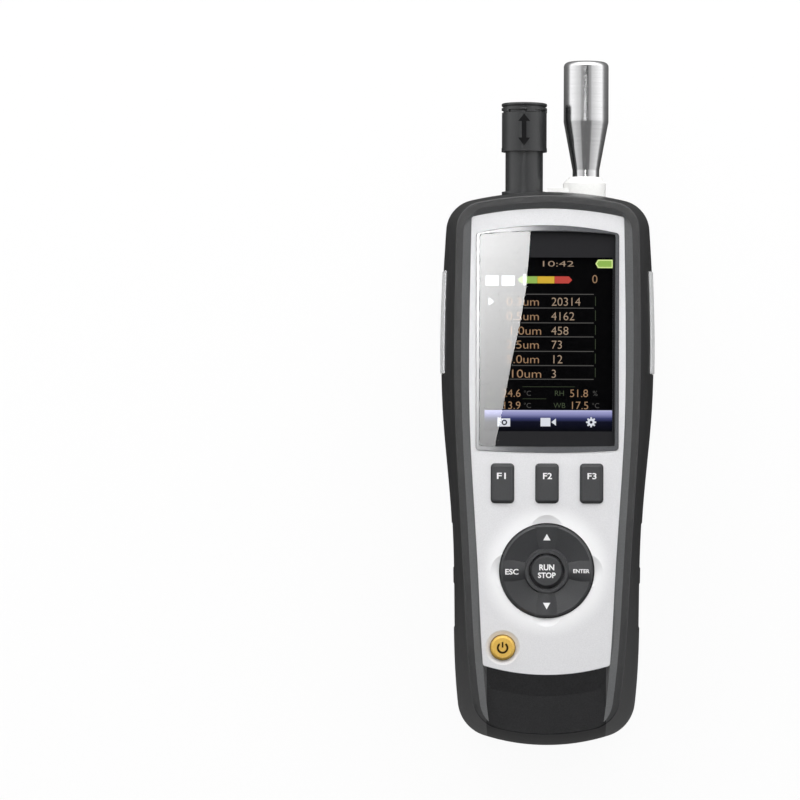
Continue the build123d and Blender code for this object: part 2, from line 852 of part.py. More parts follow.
with BuildPart() as lcd_frame:
    with BuildSketch(Plane.XY.offset(deck_foot_z - lcd_thickness - lcd_frame_lip)):
        with Locations((0, lcd_y)):
            Rectangle(lcd_width + 2 * lcd_frame_lip, lcd_length + 2 * lcd_frame_lip)
            Rectangle(lcd_width - 4 * lcd_frame_lip, lcd_length - 4 * lcd_frame_lip, mode=Mode.SUBTRACT)
    extrude(amount=lcd_thickness + lcd_frame_lip)
    lcd_back_z = deck_foot_z - lcd_thickness
    add(block(0, lcd_y, lcd_width, lcd_length, lcd_back_z, deck_foot_z), mode=Mode.SUBTRACT)
finish(lcd_frame, "lcd_frame")


# Keys: a cap through the face on a flange that keeps it in.
def flanged_key(cap_shape, flange_shape, flange_top_z):
    with BuildPart() as key:
        with BuildSketch(Plane.XY.offset(flange_top_z - key_flange_thickness)):
            add(cap_shape)
        extrude(amount=key_top_z - flange_top_z + key_flange_thickness)
        chamfer(key.faces().sort_by(Axis.Z)[-1].edges(), key_bevel)
        with BuildSketch(Plane.XY.offset(flange_top_z - key_flange_thickness)):
            add(flange_shape)
        extrude(amount=key_flange_thickness)
    return key


def round_shape(x, y, radius):
    with BuildSketch() as shape:
        with Locations((x, y)):
            Circle(radius)
    return shape.sketch


for number, place in enumerate(key_places, 1):
    cap = Pos(*place) * key_shape(0)
    flange = Pos(*place) * key_shape(key_flange)
    finish(flanged_key(cap, flange, key_flange_top_z), f"function_key_{number}")

power_cap = round_shape(power_key_x, power_y, power_key_radius)
power_flange = round_shape(power_key_x, power_y, power_key_radius + 2 * key_flange)
finish(flanged_key(power_cap, power_flange, key_flange_top_z), "power_key")

# The four-way ring rocks on a gimbal ring, which rocks on the post at its middle.
collar_radius = nav_bore_radius + collar_wall
collar_foot_z = pivot_z + gimbal_height / 2 + gimbal_gap
run_flange_top_z = collar_foot_z - run_flange_gap
nav_foot_z = nav_flange_top_z - nav_flange_thickness
lug_radius = gimbal_radius + lug_gap
cavity_radius = nav_radius - nav_wall
run_cap = round_shape(0, nav_y, run_key_radius)
run_flange = round_shape(0, nav_y, run_flange_radius)
finish(flanged_key(run_cap, run_flange, run_flange_top_z), "run_key")



# The ring's top and bevel, which its four pads reach and its rim stands a little under.
with BuildPart() as nav_form:
    add(disc(0, nav_y, nav_radius, nav_foot_z, key_top_z))
    chamfer(nav_form.faces().sort_by(Axis.Z)[-1].edges(), key_bevel)


# A pad's section across its length: an arched top over upright sides.
def pad_section(reach, width, crown_z):
    with BuildSketch(Plane(origin=(0, nav_y + reach, 0), x_dir=(1, 0, 0), z_dir=(0, -1, 0))) as section:
        edge_z = crown_z - pad_arch
        with BuildLine():
            ThreePointArc((-width / 2, edge_z), (0, crown_z), (width / 2, edge_z))
            Polyline(
                (width / 2, edge_z),
                (width / 2, key_top_z - nav_plate),
                (-width / 2, key_top_z - nav_plate),
                (-width / 2, edge_z),
            )
        make_face()
    return section.sketch


with BuildPart() as nav_pad:
    add(pad_section(nav_bore_radius, pad_inner_width, key_top_z - pad_inner_drop))
    add(pad_section(nav_radius, pad_outer_width, key_top_z))
    loft()
    add(nav_form.part, mode=Mode.INTERSECT)

rim_z = key_top_z - nav_rim_drop
with BuildPart() as nav_ring:
    add(nav_form.part)
    with BuildSketch(Plane(origin=(0, nav_y, 0), x_dir=(1, 0, 0), z_dir=(0, -1, 0))):
        with BuildLine():
            Polyline(
                (collar_radius, case_depth),
                (collar_radius, rim_z),
                (collar_radius + nav_dish_wall, rim_z - nav_dish),
                (nav_radius - key_bevel, rim_z),
                (nav_radius, rim_z - key_bevel),
                (nav_radius + nav_gap, rim_z - key_bevel),
                (nav_radius + nav_gap, case_depth),
                (collar_radius, case_depth),
            )
        make_face()
    revolve(axis=Axis((0, nav_y, 0), (0, 0, 1)), mode=Mode.SUBTRACT)
    for quarter in range(4):
        add(nav_pad.part.rotate(Axis((0, nav_y, 0), (0, 0, 1)), quarter * 90))
    add(disc(0, nav_y, nav_radius + nav_flange, nav_foot_z, nav_flange_top_z))
    add(disc(0, nav_y, cavity_radius, nav_foot_z, key_top_z - nav_plate), mode=Mode.SUBTRACT)
    add(disc(0, nav_y, collar_radius, collar_foot_z, key_top_z - nav_plate))
    for side in (-1, 1):
        lug_y = nav_y + side * (lug_radius + lug_wall / 2)
        add(block(0, lug_y, lug_width, lug_wall, nav_foot_z + pivot_clearance, key_top_z - nav_plate))
    add(disc(0, nav_y, nav_bore_radius, nav_foot_z, case_depth), mode=Mode.SUBTRACT)
    lug_reach = lug_radius + lug_wall
    pivot_bore = pivot_radius + pivot_clearance
    add(rod(0, nav_y - lug_reach, nav_y + lug_reach, pivot_bore, pivot_z), mode=Mode.SUBTRACT)
finish(nav_ring, "nav_ring")

with BuildPart() as nav_gimbal:
    add(disc(0, nav_y, gimbal_radius, pivot_z - gimbal_height / 2, pivot_z + gimbal_height / 2))
    add(rod(0, nav_y - lug_radius - lug_wall / 2, nav_y + lug_radius + lug_wall / 2, pivot_radius, pivot_z))
    gimbal_ends = (pivot_z - gimbal_height / 2, pivot_z + gimbal_height / 2)
    add(disc(0, nav_y, gimbal_radius - gimbal_wall, *gimbal_ends), mode=Mode.SUBTRACT)
    for side in (-1, 1):
        inner = post_radius - post_wall / 2
        outer = gimbal_radius - gimbal_wall / 2
        with BuildSketch(sideways(side * (inner + outer) / 2 - (outer - inner) / 2, nav_y, pivot_z)):
            Circle(pivot_radius)
        extrude(amount=outer - inner)
finish(nav_gimbal, "nav_gimbal")

with BuildPart() as nav_post:
    add(disc(0, nav_y, post_radius, mat_top_z, collar_foot_z))
    add(disc(0, nav_y, post_radius - post_wall, mat_top_z, collar_foot_z), mode=Mode.SUBTRACT)
    with BuildSketch(sideways(-post_radius, nav_y, pivot_z)):
        Circle(pivot_radius + pivot_clearance)
    extrude(amount=2 * post_radius, mode=Mode.SUBTRACT)
finish(nav_post, "nav_post")

key_board_y = crown_y - (key_board_top_drop + key_board_foot_drop) / 2
key_board_length = key_board_foot_drop - key_board_top_drop
with BuildPart() as key_mat:
    add(block(0, key_board_y, key_board_width, key_board_length, mat_top_z - mat_thickness, mat_top_z))
    for x, y in (*key_places, (0, nav_y), (power_key_x, power_y)):
        add(disc(x, y, dome_radius, mat_top_z, mat_top_z + dome_height))
    for x, y in key_boss_places:
        add(disc(x, y, board_boss_radius + port_gap, 0, case_depth), mode=Mode.SUBTRACT)
finish(key_mat, "key_mat")

with BuildPart() as key_board:
    add(block(0, key_board_y, key_board_width, key_board_length, key_board_z, mat_top_z - mat_thickness))
    for x, y in key_boss_places:
        add(disc(x, y, board_screw_radius, 0, case_depth), mode=Mode.SUBTRACT)
finish(key_board, "key_board")

main_board_y = crown_y - (main_board_top_drop + main_board_foot_drop) / 2
main_board_length = main_board_foot_drop - main_board_top_drop
with BuildPart() as main_board:
    board_top_z = main_board_z + board_thickness
    add(block(0, main_board_y, main_board_width, main_board_length, main_board_z, board_top_z))
    for side in (-1, 1):
        x = side * main_board_width / 2
        y = crown_y - main_board_top_drop
        add(
            block(x, y, 2 * main_board_notch_width, 2 * main_board_notch_length, 0, case_depth),
            mode=Mode.SUBTRACT,
        )
    for x, up, width, length in chips:
        add(block(x, main_board_y + up, width, length, main_board_z - chip_thickness, main_board_z))
    for x, y in main_boss_places:
        add(disc(x, y, board_screw_radius, 0, case_depth), mode=Mode.SUBTRACT)
finish(main_board, "main_board")


# Identical screws are one node, as a group of separate solids.
def screw_group(places, head_foot_z, head_height, head_radius, shank_radius, shank_length):
    with BuildPart() as group:
        for x, y in places:
            head_top_z = head_foot_z + head_height
            add(disc(x, y, head_radius, head_foot_z, head_top_z))
            add(disc(x, y, shank_radius, head_top_z, head_top_z + shank_length))
    return group


housing_head_z = housing_bore_depth - housing_head_height
finish(
    screw_group(
        housing_places,
        housing_head_z,
        housing_head_height,
        housing_head_radius,
        housing_screw_radius,
        housing_screw_length,
    ),
    "housing_screws",
)
board_screw = (screw_head_height, screw_head_radius, board_screw_radius, board_thickness + screw_grip)
finish(screw_group(key_boss_places, key_board_z - screw_head_height, *board_screw), "key_board_screws")
finish(screw_group(main_boss_places, main_board_z - screw_head_height, *board_screw), "main_board_screws")

# Ports on the underside of the main board.
usb_x = port_reach - usb_depth / 2
with BuildPart() as usb_socket:
    add(block(usb_x, usb_y, usb_depth, usb_width, main_board_z - usb_height, main_board_z))
    mouth_width = usb_width - 2 * socket_wall
    mouth_x = usb_x + 2 * socket_wall
    mouth_foot_z = main_board_z - usb_height + socket_wall
    add(
        block(mouth_x, usb_y, usb_depth, mouth_width, mouth_foot_z, main_board_z - socket_wall),
        mode=Mode.SUBTRACT,
    )
    tongue_z = main_board_z - usb_height / 2
    tongue_depth = usb_depth - 2 * socket_wall
    tongue_x = usb_x - socket_wall
    add(block(tongue_x, usb_y, tongue_depth, mouth_width / 2, tongue_z, tongue_z + socket_wall))
finish(usb_socket, "usb_socket")

card_x = port_reach - card_depth / 2
with BuildPart() as card_socket:
    add(block(card_x, card_y, card_depth, card_width, main_board_z - card_height, main_board_z))
    add(
        block(
            card_x + 2 * socket_wall,
            card_y,
            card_depth,
            card_width - 2 * socket_wall,
            main_board_z - card_height + socket_wall,
            main_board_z - socket_wall,
        ),
        mode=Mode.SUBTRACT,
    )
finish(card_socket, "card_socket")

jack_face_x = port_reach - jack_nose_radius
with BuildPart() as dc_jack:
    jack_x = -jack_face_x + jack_depth / 2
    add(block(jack_x, jack_y, jack_depth, jack_width, main_board_z - jack_width, main_board_z))
    with BuildSketch(sideways(-port_reach, jack_y, jack_z)):
        Circle(jack_nose_radius)
    extrude(amount=jack_nose_radius)
    with BuildSketch(sideways(-port_reach, jack_y, jack_z)):
        Circle(jack_bore_radius)
        Circle(jack_pin_radius, mode=Mode.SUBTRACT)
    extrude(amount=jack_depth, mode=Mode.SUBTRACT)
finish(dc_jack, "dc_jack")

for side, name in ((-1, "left"), (1, "right")):
    finish(port_door(side), f"{name}_port_door")
    finish(hinge_pin(side), f"{name}_hinge_pin")

# Inlet: the nozzle is a turned funnel that pulls off its spigot.
with BuildPart() as sampling_nozzle:
    with BuildSketch(Plane.XY.offset(belt_height).move(Location((nozzle_x, 0, 0)))):
        cone_top_y = mouth_y - nozzle_barrel
        neck_top_y = cone_top_y - nozzle_cone
        seat_radius = spigot_radius + spigot_clearance
        with BuildLine():
            Polyline(
                (nozzle_radius, mouth_y - nozzle_lip),
                (nozzle_radius, cone_top_y),
                (nozzle_neck_radius, neck_top_y),
                (nozzle_neck_radius, nozzle_foot_y),
                (seat_radius, nozzle_foot_y),
                (seat_radius, spigot_top_y + spigot_clearance),
                (nozzle_throat_radius, spigot_top_y + spigot_clearance),
                (nozzle_throat_radius, mouth_y - nozzle_taper_depth),
                (nozzle_mouth_radius, mouth_y - nozzle_mouth_depth),
                (nozzle_mouth_radius, mouth_y),
                (nozzle_radius - nozzle_lip, mouth_y),
            )
            lip_ends = ((nozzle_radius - nozzle_lip, mouth_y), (nozzle_radius, mouth_y - nozzle_lip))
            RadiusArc(*lip_ends, nozzle_lip)
        make_face()
    revolve(axis=Axis((nozzle_x, 0, belt_height), (0, 1, 0)))
finish(sampling_nozzle, "sampling_nozzle")

ring_y = spigot_top_y - ring_from_top
with BuildPart() as inlet_spigot:
    add(rod(nozzle_x, block_top_y, spigot_top_y, spigot_radius))
    add(rod(nozzle_x, block_top_y, spigot_top_y, spigot_bore), mode=Mode.SUBTRACT)
    groove_ends = (ring_y - ring_section, ring_y + ring_section)
    groove_radius = spigot_radius - 2 * ring_section + spigot_clearance
    groove = rod(nozzle_x, *groove_ends, 2 * spigot_radius)
    groove -= rod(nozzle_x, *groove_ends, groove_radius)
    add(groove, mode=Mode.SUBTRACT)
finish(inlet_spigot, "inlet_spigot")

with BuildPart() as inlet_ring:
    with BuildSketch(Plane(origin=(nozzle_x, 0, belt_height), x_dir=(1, 0, 0), z_dir=(0, 0, 1))):
        with Locations((spigot_radius - ring_section + spigot_clearance / 2, ring_y)):
            Circle(ring_section - spigot_clearance / 2)
    revolve(axis=Axis((nozzle_x, 0, belt_height), (0, 1, 0)))
finish(inlet_ring, "inlet_ring")

collar_top_y = crown_y + inlet_collar_rise
collar_shoulder_y = collar_top_y - inlet_collar_shoulder
with BuildPart() as inlet_collar:
    with BuildSketch(Plane(origin=(inlet_collar_x, 0, belt_height), x_dir=(1, 0, 0), z_dir=(0, 0, 1))):
        with BuildLine():
            Polyline(
                (0, collar_root_y),
                (inlet_collar_radius, collar_root_y),
                (inlet_collar_radius, collar_shoulder_y),
                (inlet_collar_neck_radius, collar_top_y),
                (0, collar_top_y),
                (0, collar_root_y),
            )
        make_face()
    revolve(axis=Axis((inlet_collar_x, 0, belt_height), (0, 1, 0)))
    with BuildSketch(across(saddle_left_x + saddle_width / 2, collar_root_y, belt_height)):
        Rectangle(saddle_width, 2 * saddle_half_depth)
    extrude(amount=inlet_collar_root + saddle_rise)
    add(rod(nozzle_x, collar_root_y, collar_top_y, spigot_radius), mode=Mode.SUBTRACT)
finish(inlet_collar, "inlet_collar")

# Climate probe.
cap_y = post_top_y
cage_top_y = post_top_y - cage_top_gap
flange_top_y = probe_flange_y
with BuildPart() as sensor_post:
    add(rod(probe_x, post_root_y - root_flange_thickness, post_top_y, post_outer_radius))
    add(rod(probe_x, flange_top_y - probe_flange_thickness, flange_top_y, probe_flange_radius))
    add(rod(probe_x, post_root_y - root_flange_thickness, post_root_y, root_flange_radius))
    add(rod(probe_x, post_root_y - root_flange_thickness, post_top_y, post_bore_radius), mode=Mode.SUBTRACT)
    with BuildSketch(across(probe_x, cage_top_y - cage_length, belt_height)):
        for index in range(cage_slots // 2):
            Rectangle(4 * post_outer_radius, cage_slot_width, rotation=index * 360 / cage_slots)
    extrude(amount=cage_length, mode=Mode.SUBTRACT)
finish(sensor_post, "sensor_post")

groove_y = cap_y + cap_height - cap_disc - cap_groove
with BuildPart() as sensor_cap:
    add(rod(probe_x, groove_y + cap_groove, cap_y + cap_height, sleeve_radius))
    fillet(sensor_cap.edges(), cap_round)
    add(rod(probe_x, groove_y, groove_y + cap_groove, sleeve_radius - cap_groove_depth))
    add(rod(probe_x, cap_y, groove_y, sleeve_radius))
    add(rod(probe_x, cap_y - cap_plug, cap_y, post_bore_radius))
    with BuildSketch(across(probe_x, cap_y, belt_height)):
        Circle(2 * sleeve_radius)
        Circle(sleeve_radius - cap_slot_depth, mode=Mode.SUBTRACT)
        with PolarLocations(sleeve_radius, cap_slots):
            Rectangle(3 * cap_slot_depth, cap_rib_width, mode=Mode.SUBTRACT)
    extrude(amount=cap_slot_height, mode=Mode.SUBTRACT)
finish(sensor_cap, "sensor_cap")

sleeve_top_y = cap_y - sleeve_gap
sleeve_foot_y = sleeve_top_y - sleeve_length
with BuildPart() as sensor_sleeve:
    add(rod(probe_x, sleeve_foot_y, sleeve_top_y, sleeve_radius - sleeve_band_step))
    add(rod(probe_x, sleeve_foot_y, sleeve_foot_y + sleeve_band_height, sleeve_radius))
    add(rod(probe_x, sleeve_foot_y, sleeve_top_y, post_outer_radius + sleeve_clearance), mode=Mode.SUBTRACT)
finish(sensor_sleeve, "sensor_sleeve")

element_y = cap_y - cap_plug - element_length / 2
with BuildPart() as climate_sensor:
    with BuildSketch(across(probe_x, element_y - element_length / 2, belt_height)):
        Rectangle(element_width, element_thickness)
    extrude(amount=element_length)
    add(
        block(
            probe_x,
            element_y + element_length / 4,
            element_chip,
            element_chip,
            belt_height + element_thickness / 2,
            belt_height + element_thickness,
        )
    )
finish(climate_sensor, "climate_sensor")

# Air path.
laser_y = block_foot_y + block_length / 2
block_top_z = block_foot_height + block_height
with BuildPart() as sensing_block:
    add(block(block_x, laser_y, block_width, block_length, block_foot_height, block_top_z))
    add(rod(nozzle_x, block_foot_y, block_top_y, spigot_bore), mode=Mode.SUBTRACT)
    with BuildSketch(sideways(block_left, laser_y, belt_height)):
        Circle(laser_bore)
    extrude(amount=block_width - laser_bore, mode=Mode.SUBTRACT)
    add(disc(nozzle_x, laser_y, detector_bore, belt_height, block_top_z), mode=Mode.SUBTRACT)
finish(sensing_block, "sensing_block")

with BuildPart() as laser_module:
    with BuildSketch(sideways(block_left - laser_length, laser_y, belt_height)):
        Circle(laser_radius)
    extrude(amount=laser_length)
finish(laser_module, "laser_module")

with BuildPart() as detector_board:
    detector_top_z = block_top_z + detector_thickness
    add(block(nozzle_x, laser_y, detector_size, detector_size, block_top_z, detector_top_z))
finish(detector_board, "detector_board")

with BuildPart() as sample_tube:
    add(rod(nozzle_x, pump_top_y, block_foot_y, tube_radius))
    add(rod(nozzle_x, pump_top_y, block_foot_y, tube_bore), mode=Mode.SUBTRACT)
finish(sample_tube, "sample_tube")

half_head = pump_head_size / 2
with BuildPart() as pump_head:
    add(block(pump_x, exhaust_y, pump_head_size, pump_head_length, pump_seat_z, pump_height + half_head))
    fillet(pump_head.edges().filter_by(Axis.Y), tube_bore)
    add(rod(nozzle_x, exhaust_y, pump_top_y, tube_bore), mode=Mode.SUBTRACT)
    with BuildSketch(sideways(pump_x - half_head, exhaust_y, pump_height)):
        Circle(tube_bore)
    extrude(amount=half_head, mode=Mode.SUBTRACT)
finish(pump_head, "pump_head")

with BuildPart() as pump_motor:
    add(rod(pump_x, pump_foot_y - motor_length, pump_foot_y, motor_radius, pump_height))
    fillet(pump_motor.edges().sort_by(Axis.Y)[0], tube_bore)
finish(pump_motor, "pump_motor")

with BuildPart() as exhaust_filter:
    add(rod(filter_x, filter_top_y - filter_length, filter_top_y, filter_radius, pump_height))
    fillet(exhaust_filter.edges(), tube_bore)
    add(
        rod(filter_x, filter_top_y - filter_length, filter_top_y, tube_bore, pump_height),
        mode=Mode.SUBTRACT,
    )
finish(exhaust_filter, "exhaust_filter")

with BuildPart() as exhaust_tube:
    with BuildLine() as route:
        FilletPolyline(
            (pump_x - half_head, exhaust_y, pump_height),
            (filter_x, exhaust_y, pump_height),
            (filter_x, filter_top_y, pump_height),
            radius=exhaust_bend,
        )
    with BuildSketch(Plane(origin=route.line @ 0, z_dir=route.line % 0)):
        Circle(tube_radius)
        Circle(tube_bore, mode=Mode.SUBTRACT)
    sweep(path=route.line)
finish(exhaust_tube, "exhaust_tube")

# Power.
with BuildPart() as battery_pack:
    pack_foot_z = hatch_thickness + pack_floor_gap
    add(block(0, pack_y, pack_width, pack_length, pack_foot_z, pack_foot_z + pack_height))
    fillet(battery_pack.edges().filter_by(Axis.Y), pack_corner)
finish(battery_pack, "battery_pack")

with BuildPart() as battery_hatch:
    with BuildSketch(Plane.XY):
        with Locations((0, hatch_y)):
            RectangleRounded(hatch_width, hatch_length, hatch_corner - hatch_gap)
    extrude(amount=hatch_thickness)
    add(disc(0, hatch_screw_y, board_screw_radius + hatch_gap, 0, hatch_thickness), mode=Mode.SUBTRACT)
    head_room = screw_head_radius + hatch_gap
    add(disc(0, hatch_screw_y, head_room, 0, screw_head_height + hatch_gap), mode=Mode.SUBTRACT)
finish(battery_hatch, "battery_hatch")
hatch_screw = (screw_head_height, screw_head_radius, board_screw_radius, hatch_boss_height)
finish(screw_group([(0, hatch_screw_y)], hatch_gap, *hatch_screw), "hatch_screw")

with BuildPart() as tripod_insert:
    add(disc(0, tripod_y, tripod_insert_radius, tripod_recess, tripod_recess + tripod_insert_height))
    add(
        disc(0, tripod_y, tripod_bore_radius, tripod_recess, tripod_recess + tripod_bore_depth),
        mode=Mode.SUBTRACT,
    )
finish(tripod_insert, "tripod_insert")

# Camera and speaker, which look and sound out through the back.
with BuildPart() as camera_window:
    add(disc(camera_x, camera_y, camera_window_radius, camera_sill, window_seat_z))
finish(camera_window, "camera_window")

with BuildPart() as camera_module:
    add(block(camera_x, camera_y, camera_size, camera_size, case_wall, case_wall + camera_height))
    add(disc(camera_x, camera_y, camera_bore_radius - port_gap, window_seat_z, case_wall))
finish(camera_module, "camera_module")

with BuildPart() as speaker:
    add(disc(speaker_x, speaker_y, speaker_radius, case_wall, case_wall + speaker_height))
    fillet(speaker.edges().sort_by(Axis.Z)[-1], camera_sill)
finish(speaker, "speaker")
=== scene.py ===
import math

import bpy
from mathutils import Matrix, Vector
from mathutils.bvhtree import BVHTree


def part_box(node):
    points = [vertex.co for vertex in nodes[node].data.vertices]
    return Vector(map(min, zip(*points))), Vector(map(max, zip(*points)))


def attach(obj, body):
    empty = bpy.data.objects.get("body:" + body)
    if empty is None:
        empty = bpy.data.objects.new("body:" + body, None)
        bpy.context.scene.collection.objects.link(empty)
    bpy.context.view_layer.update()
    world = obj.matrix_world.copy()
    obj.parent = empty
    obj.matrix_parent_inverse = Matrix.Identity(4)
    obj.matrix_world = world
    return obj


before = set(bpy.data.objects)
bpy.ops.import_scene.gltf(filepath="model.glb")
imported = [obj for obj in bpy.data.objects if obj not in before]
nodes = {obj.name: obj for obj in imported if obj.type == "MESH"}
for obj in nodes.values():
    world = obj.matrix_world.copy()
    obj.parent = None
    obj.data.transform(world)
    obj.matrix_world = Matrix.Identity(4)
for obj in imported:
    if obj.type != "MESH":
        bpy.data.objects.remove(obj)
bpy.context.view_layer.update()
mm = 0.001


# colours and nodes

def linear(hexColour):
    channels = [int(hexColour[i:i + 2], 16) / 255 for i in (0, 2, 4)]
    return [c / 12.92 if c <= 0.04045 else ((c + 0.055) / 1.055) ** 2.4 for c in channels] + [1.0]


def addNode(tree, kind, settings=None, links=None):
    node = tree.nodes.new(kind)
    for name, value in (settings or {}).items():
        if isinstance(name, int) or name in node.inputs:
            node.inputs[name].default_value = value
        else:
            setattr(node, name, value)
    for name, socket in (links or {}).items():
        tree.links.new(socket, node.inputs[name])
    return node


def newMaterial(name, **settings):
    material = bpy.data.materials.new(name)
    material.use_nodes = True
    shader = material.node_tree.nodes["Principled BSDF"]
    for key, value in settings.items():
        shader.inputs[key].default_value = value
    return material, material.node_tree, shader


def colourRamp(tree, fac, stops):
    # a stop is a place along the ramp with a hex colour, or with a plain level of grey
    ramp = addNode(tree, "ShaderNodeValToRGB", links={"Fac": fac})
    elements = ramp.color_ramp.elements
    while len(elements) < len(stops):
        elements.new(0.5)
    for element, (place, colour) in zip(elements, stops):
        element.position = place
        element.color = linear(colour) if isinstance(colour, str) else (colour, colour, colour, 1)
    return ramp.outputs["Color"]


castSurface = {
    "broadSize": 28, "broadShare": 0.35, "fineShare": 0.65, "darkAt": 0.35, "lightAt": 0.65,
    "smoother": 0.05, "rougher": 0.06, "bump": 0.6
}


def grained(name, light, dark, grain, roughness, depth, **settings):
    # a moulded or cast surface: fine grain in the tool, slight change of tone, uneven sheen
    material, tree, shader = newMaterial(name, **settings)
    place = addNode(tree, "ShaderNodeTexCoord").outputs["Object"]
    fineGrain = {"Scale": 1 / (grain * mm), "Detail": 3.0, "Roughness": 0.6}
    fine = addNode(tree, "ShaderNodeTexNoise", fineGrain, {"Vector": place}).outputs["Fac"]
    broadGrain = {"Scale": 1 / (castSurface["broadSize"] * mm), "Detail": 2.0}
    broad = addNode(tree, "ShaderNodeTexNoise", broadGrain, {"Vector": place}).outputs["Fac"]
    share = addNode(tree, "ShaderNodeMath", {"operation": "MULTIPLY", 1: castSurface["fineShare"]}, {0: fine})
    blend = addNode(
        tree, "ShaderNodeMath", {"operation": "MULTIPLY_ADD", 1: castSurface["broadShare"]},
        {0: broad, 2: share.outputs[0]}
    )
    tones = [(castSurface["darkAt"], dark), (castSurface["lightAt"], light)]
    tree.links.new(colourRamp(tree, blend.outputs[0], tones), shader.inputs["Base Color"])
    span = {"To Min": roughness - castSurface["smoother"], "To Max": roughness + castSurface["rougher"]}
    sheen = addNode(tree, "ShaderNodeMapRange", span, {"Value": fine})
    tree.links.new(sheen.outputs["Result"], shader.inputs["Roughness"])
    relief = {"Strength": castSurface["bump"], "Distance": depth * mm}
    bump = addNode(tree, "ShaderNodeBump", relief, {"Height": fine})
    tree.links.new(bump.outputs["Normal"], shader.inputs["Normal"])
    return material


# elastomer overmould, spark-eroded tool: matt, grain about 0.4 mm, almost black
softRubber = grained("overmouldedRubber", "2a2a2b", "1e1e1f", 0.45, 0.38, 0.03, IOR=1.5)
# ABS, satin tool, mid grey
rimPlastic = grained("satinAbs", "5c5d5e", "505152", 0.5, 0.45, 0.012, IOR=1.53)
# ABS ring round the window, highly polished
ringPlastic = grained("ringAbs", "66676a", "5a5b5e", 0.5, 0.07, 0.001, IOR=1.53)
# key caps: ABS with a fine matt grain
keyPlastic = grained("keyAbs", "38393b", "303032", 0.35, 0.34, 0.008, IOR=1.53)
# power key: pearl yellow moulded acrylic
goldPlastic = grained("pearlYellowAcrylic", "e3bd5c", "d2a646", 0.5, 0.32, 0.006, IOR=1.49)
# probe: glass-filled polyamide, satin
probePlastic = grained("probePolyamide", "2c2d2e", "232425", 0.45, 0.34, 0.010, IOR=1.53)
# collar: white polycarbonate
whitePlastic = grained("whitePolycarbonate", "f4f4f2", "ececea", 0.6, 0.35, 0.006, IOR=1.58)
# side doors: light grey moulded ABS, polished tool
doorPlastic = grained("polishedGreyAbs", "ebebec", "e0e1e2", 0.8, 0.25, 0.004, IOR=1.53)
# plain parts inside and on the back: polyamide, silicone, anodised block, film, tube, brass and zinc
blackPlastic = grained("blackPolyamide", "2c2c2e", "222223", 0.5, 0.5, 0.012, IOR=1.53)
siliconeRubber = grained("greySilicone", "8a8c8e", "7c7e80", 0.6, 0.5, 0.006, IOR=1.41)
blockMetal = grained("blackAnodisedAluminium", "8f9194", "7d7f82", 0.35, 0.42, 0.006, Metallic=1.0)
sleeveFilm = grained("blueShrinkSleeve", "2a5a94", "23508a", 6.0, 0.28, 0.01, IOR=1.54)
tubeSilicone = grained("clearSilicone", "c9cac6", "bbbcb8", 1.0, 0.3, 0.004, IOR=1.41)
brassMetal = grained("turnedBrass", "c9a45c", "b8924c", 0.4, 0.28, 0.004, Metallic=1.0)
zincMetal = grained("zincPlatedSteel", "b9bbbd", "a8aaad", 0.4, 0.34, 0.004, Metallic=1.0)

heel = {"halfWidth": 20.5, "top": -88.0, "sheen": 0.12, "restSheen": 0.75}


def dullPad(material):
    # the heel of the skin, under the plate, is sparked to a duller grain than the rest: it has less specular
    # sheen
    tree = material.node_tree
    shader = tree.nodes["Principled BSDF"]
    place = addNode(tree, "ShaderNodeTexCoord").outputs["Object"]
    parts = addNode(tree, "ShaderNodeSeparateXYZ", links={"Vector": place})
    across = addNode(tree, "ShaderNodeMath", {"operation": "ABSOLUTE"}, {0: parts.outputs["X"]})
    inside = {"operation": "LESS_THAN", 1: heel["halfWidth"] * mm}
    within = addNode(tree, "ShaderNodeMath", inside, {0: across.outputs[0]})
    lower = {"operation": "LESS_THAN", 1: heel["top"] * mm}
    below = addNode(tree, "ShaderNodeMath", lower, {0: parts.outputs["Y"]})
    both = addNode(
        tree, "ShaderNodeMath", {"operation": "MULTIPLY"}, {0: within.outputs[0], 1: below.outputs[0]}
    )
    span = {"To Min": heel["restSheen"], "To Max": heel["sheen"]}
    sheen = addNode(tree, "ShaderNodeMapRange", span, {"Value": both.outputs[0]})
    tree.links.new(sheen.outputs["Result"], shader.inputs["Specular IOR Level"])


dullPad(softRubber)

# painted highlight round the four-way pad: its middle, and the distances where it is full and where it fades
# out
paintedGlow = {"y": -57.55, "z": 56, "full": 17, "ends": 24}


def silverPaint():
    # painted polycarbonate plate: pale silver paint with fine flake, plus a painted highlight: the colour
    # turns near white round the four-way pad, standing in for light gathered there
    material, tree, shader = newMaterial("palePaint", IOR=1.5, Metallic=0.15)
    place = addNode(tree, "ShaderNodeTexCoord").outputs["Object"]
    flakeGrain = {"Scale": 1 / (0.3 * mm), "Detail": 3.0}
    flake = addNode(tree, "ShaderNodeTexNoise", flakeGrain, {"Vector": place}).outputs["Fac"]
    padMiddle = (0, paintedGlow["y"] * mm, paintedGlow["z"] * mm)
    away = addNode(tree, "ShaderNodeVectorMath", {"operation": "DISTANCE", 1: padMiddle}, {0: place})
    fade = {
        "From Min": paintedGlow["full"] * mm, "From Max": paintedGlow["ends"] * mm,
        "To Min": 1.0, "To Max": 0.0
    }
    padGlow = addNode(tree, "ShaderNodeMapRange", fade, {"Value": away.outputs["Value"]})
    padGlow.interpolation_type = "SMOOTHSTEP"
    base = colourRamp(tree, flake, [(0.3, "dcdcde"), (0.7, "e6e6e8")])
    # near-white colour of the painted highlight round the pad
    thick = {2: linear("f8f8f9")}
    tone = addNode(tree, "ShaderNodeMixRGB", thick, {"Fac": padGlow.outputs["Result"], 1: base})
    tree.links.new(tone.outputs[0], shader.inputs["Base Color"])
    sheen = addNode(tree, "ShaderNodeMapRange", {"To Min": 0.33, "To Max": 0.42}, {"Value": flake})
    tree.links.new(sheen.outputs["Result"], shader.inputs["Roughness"])
    return material


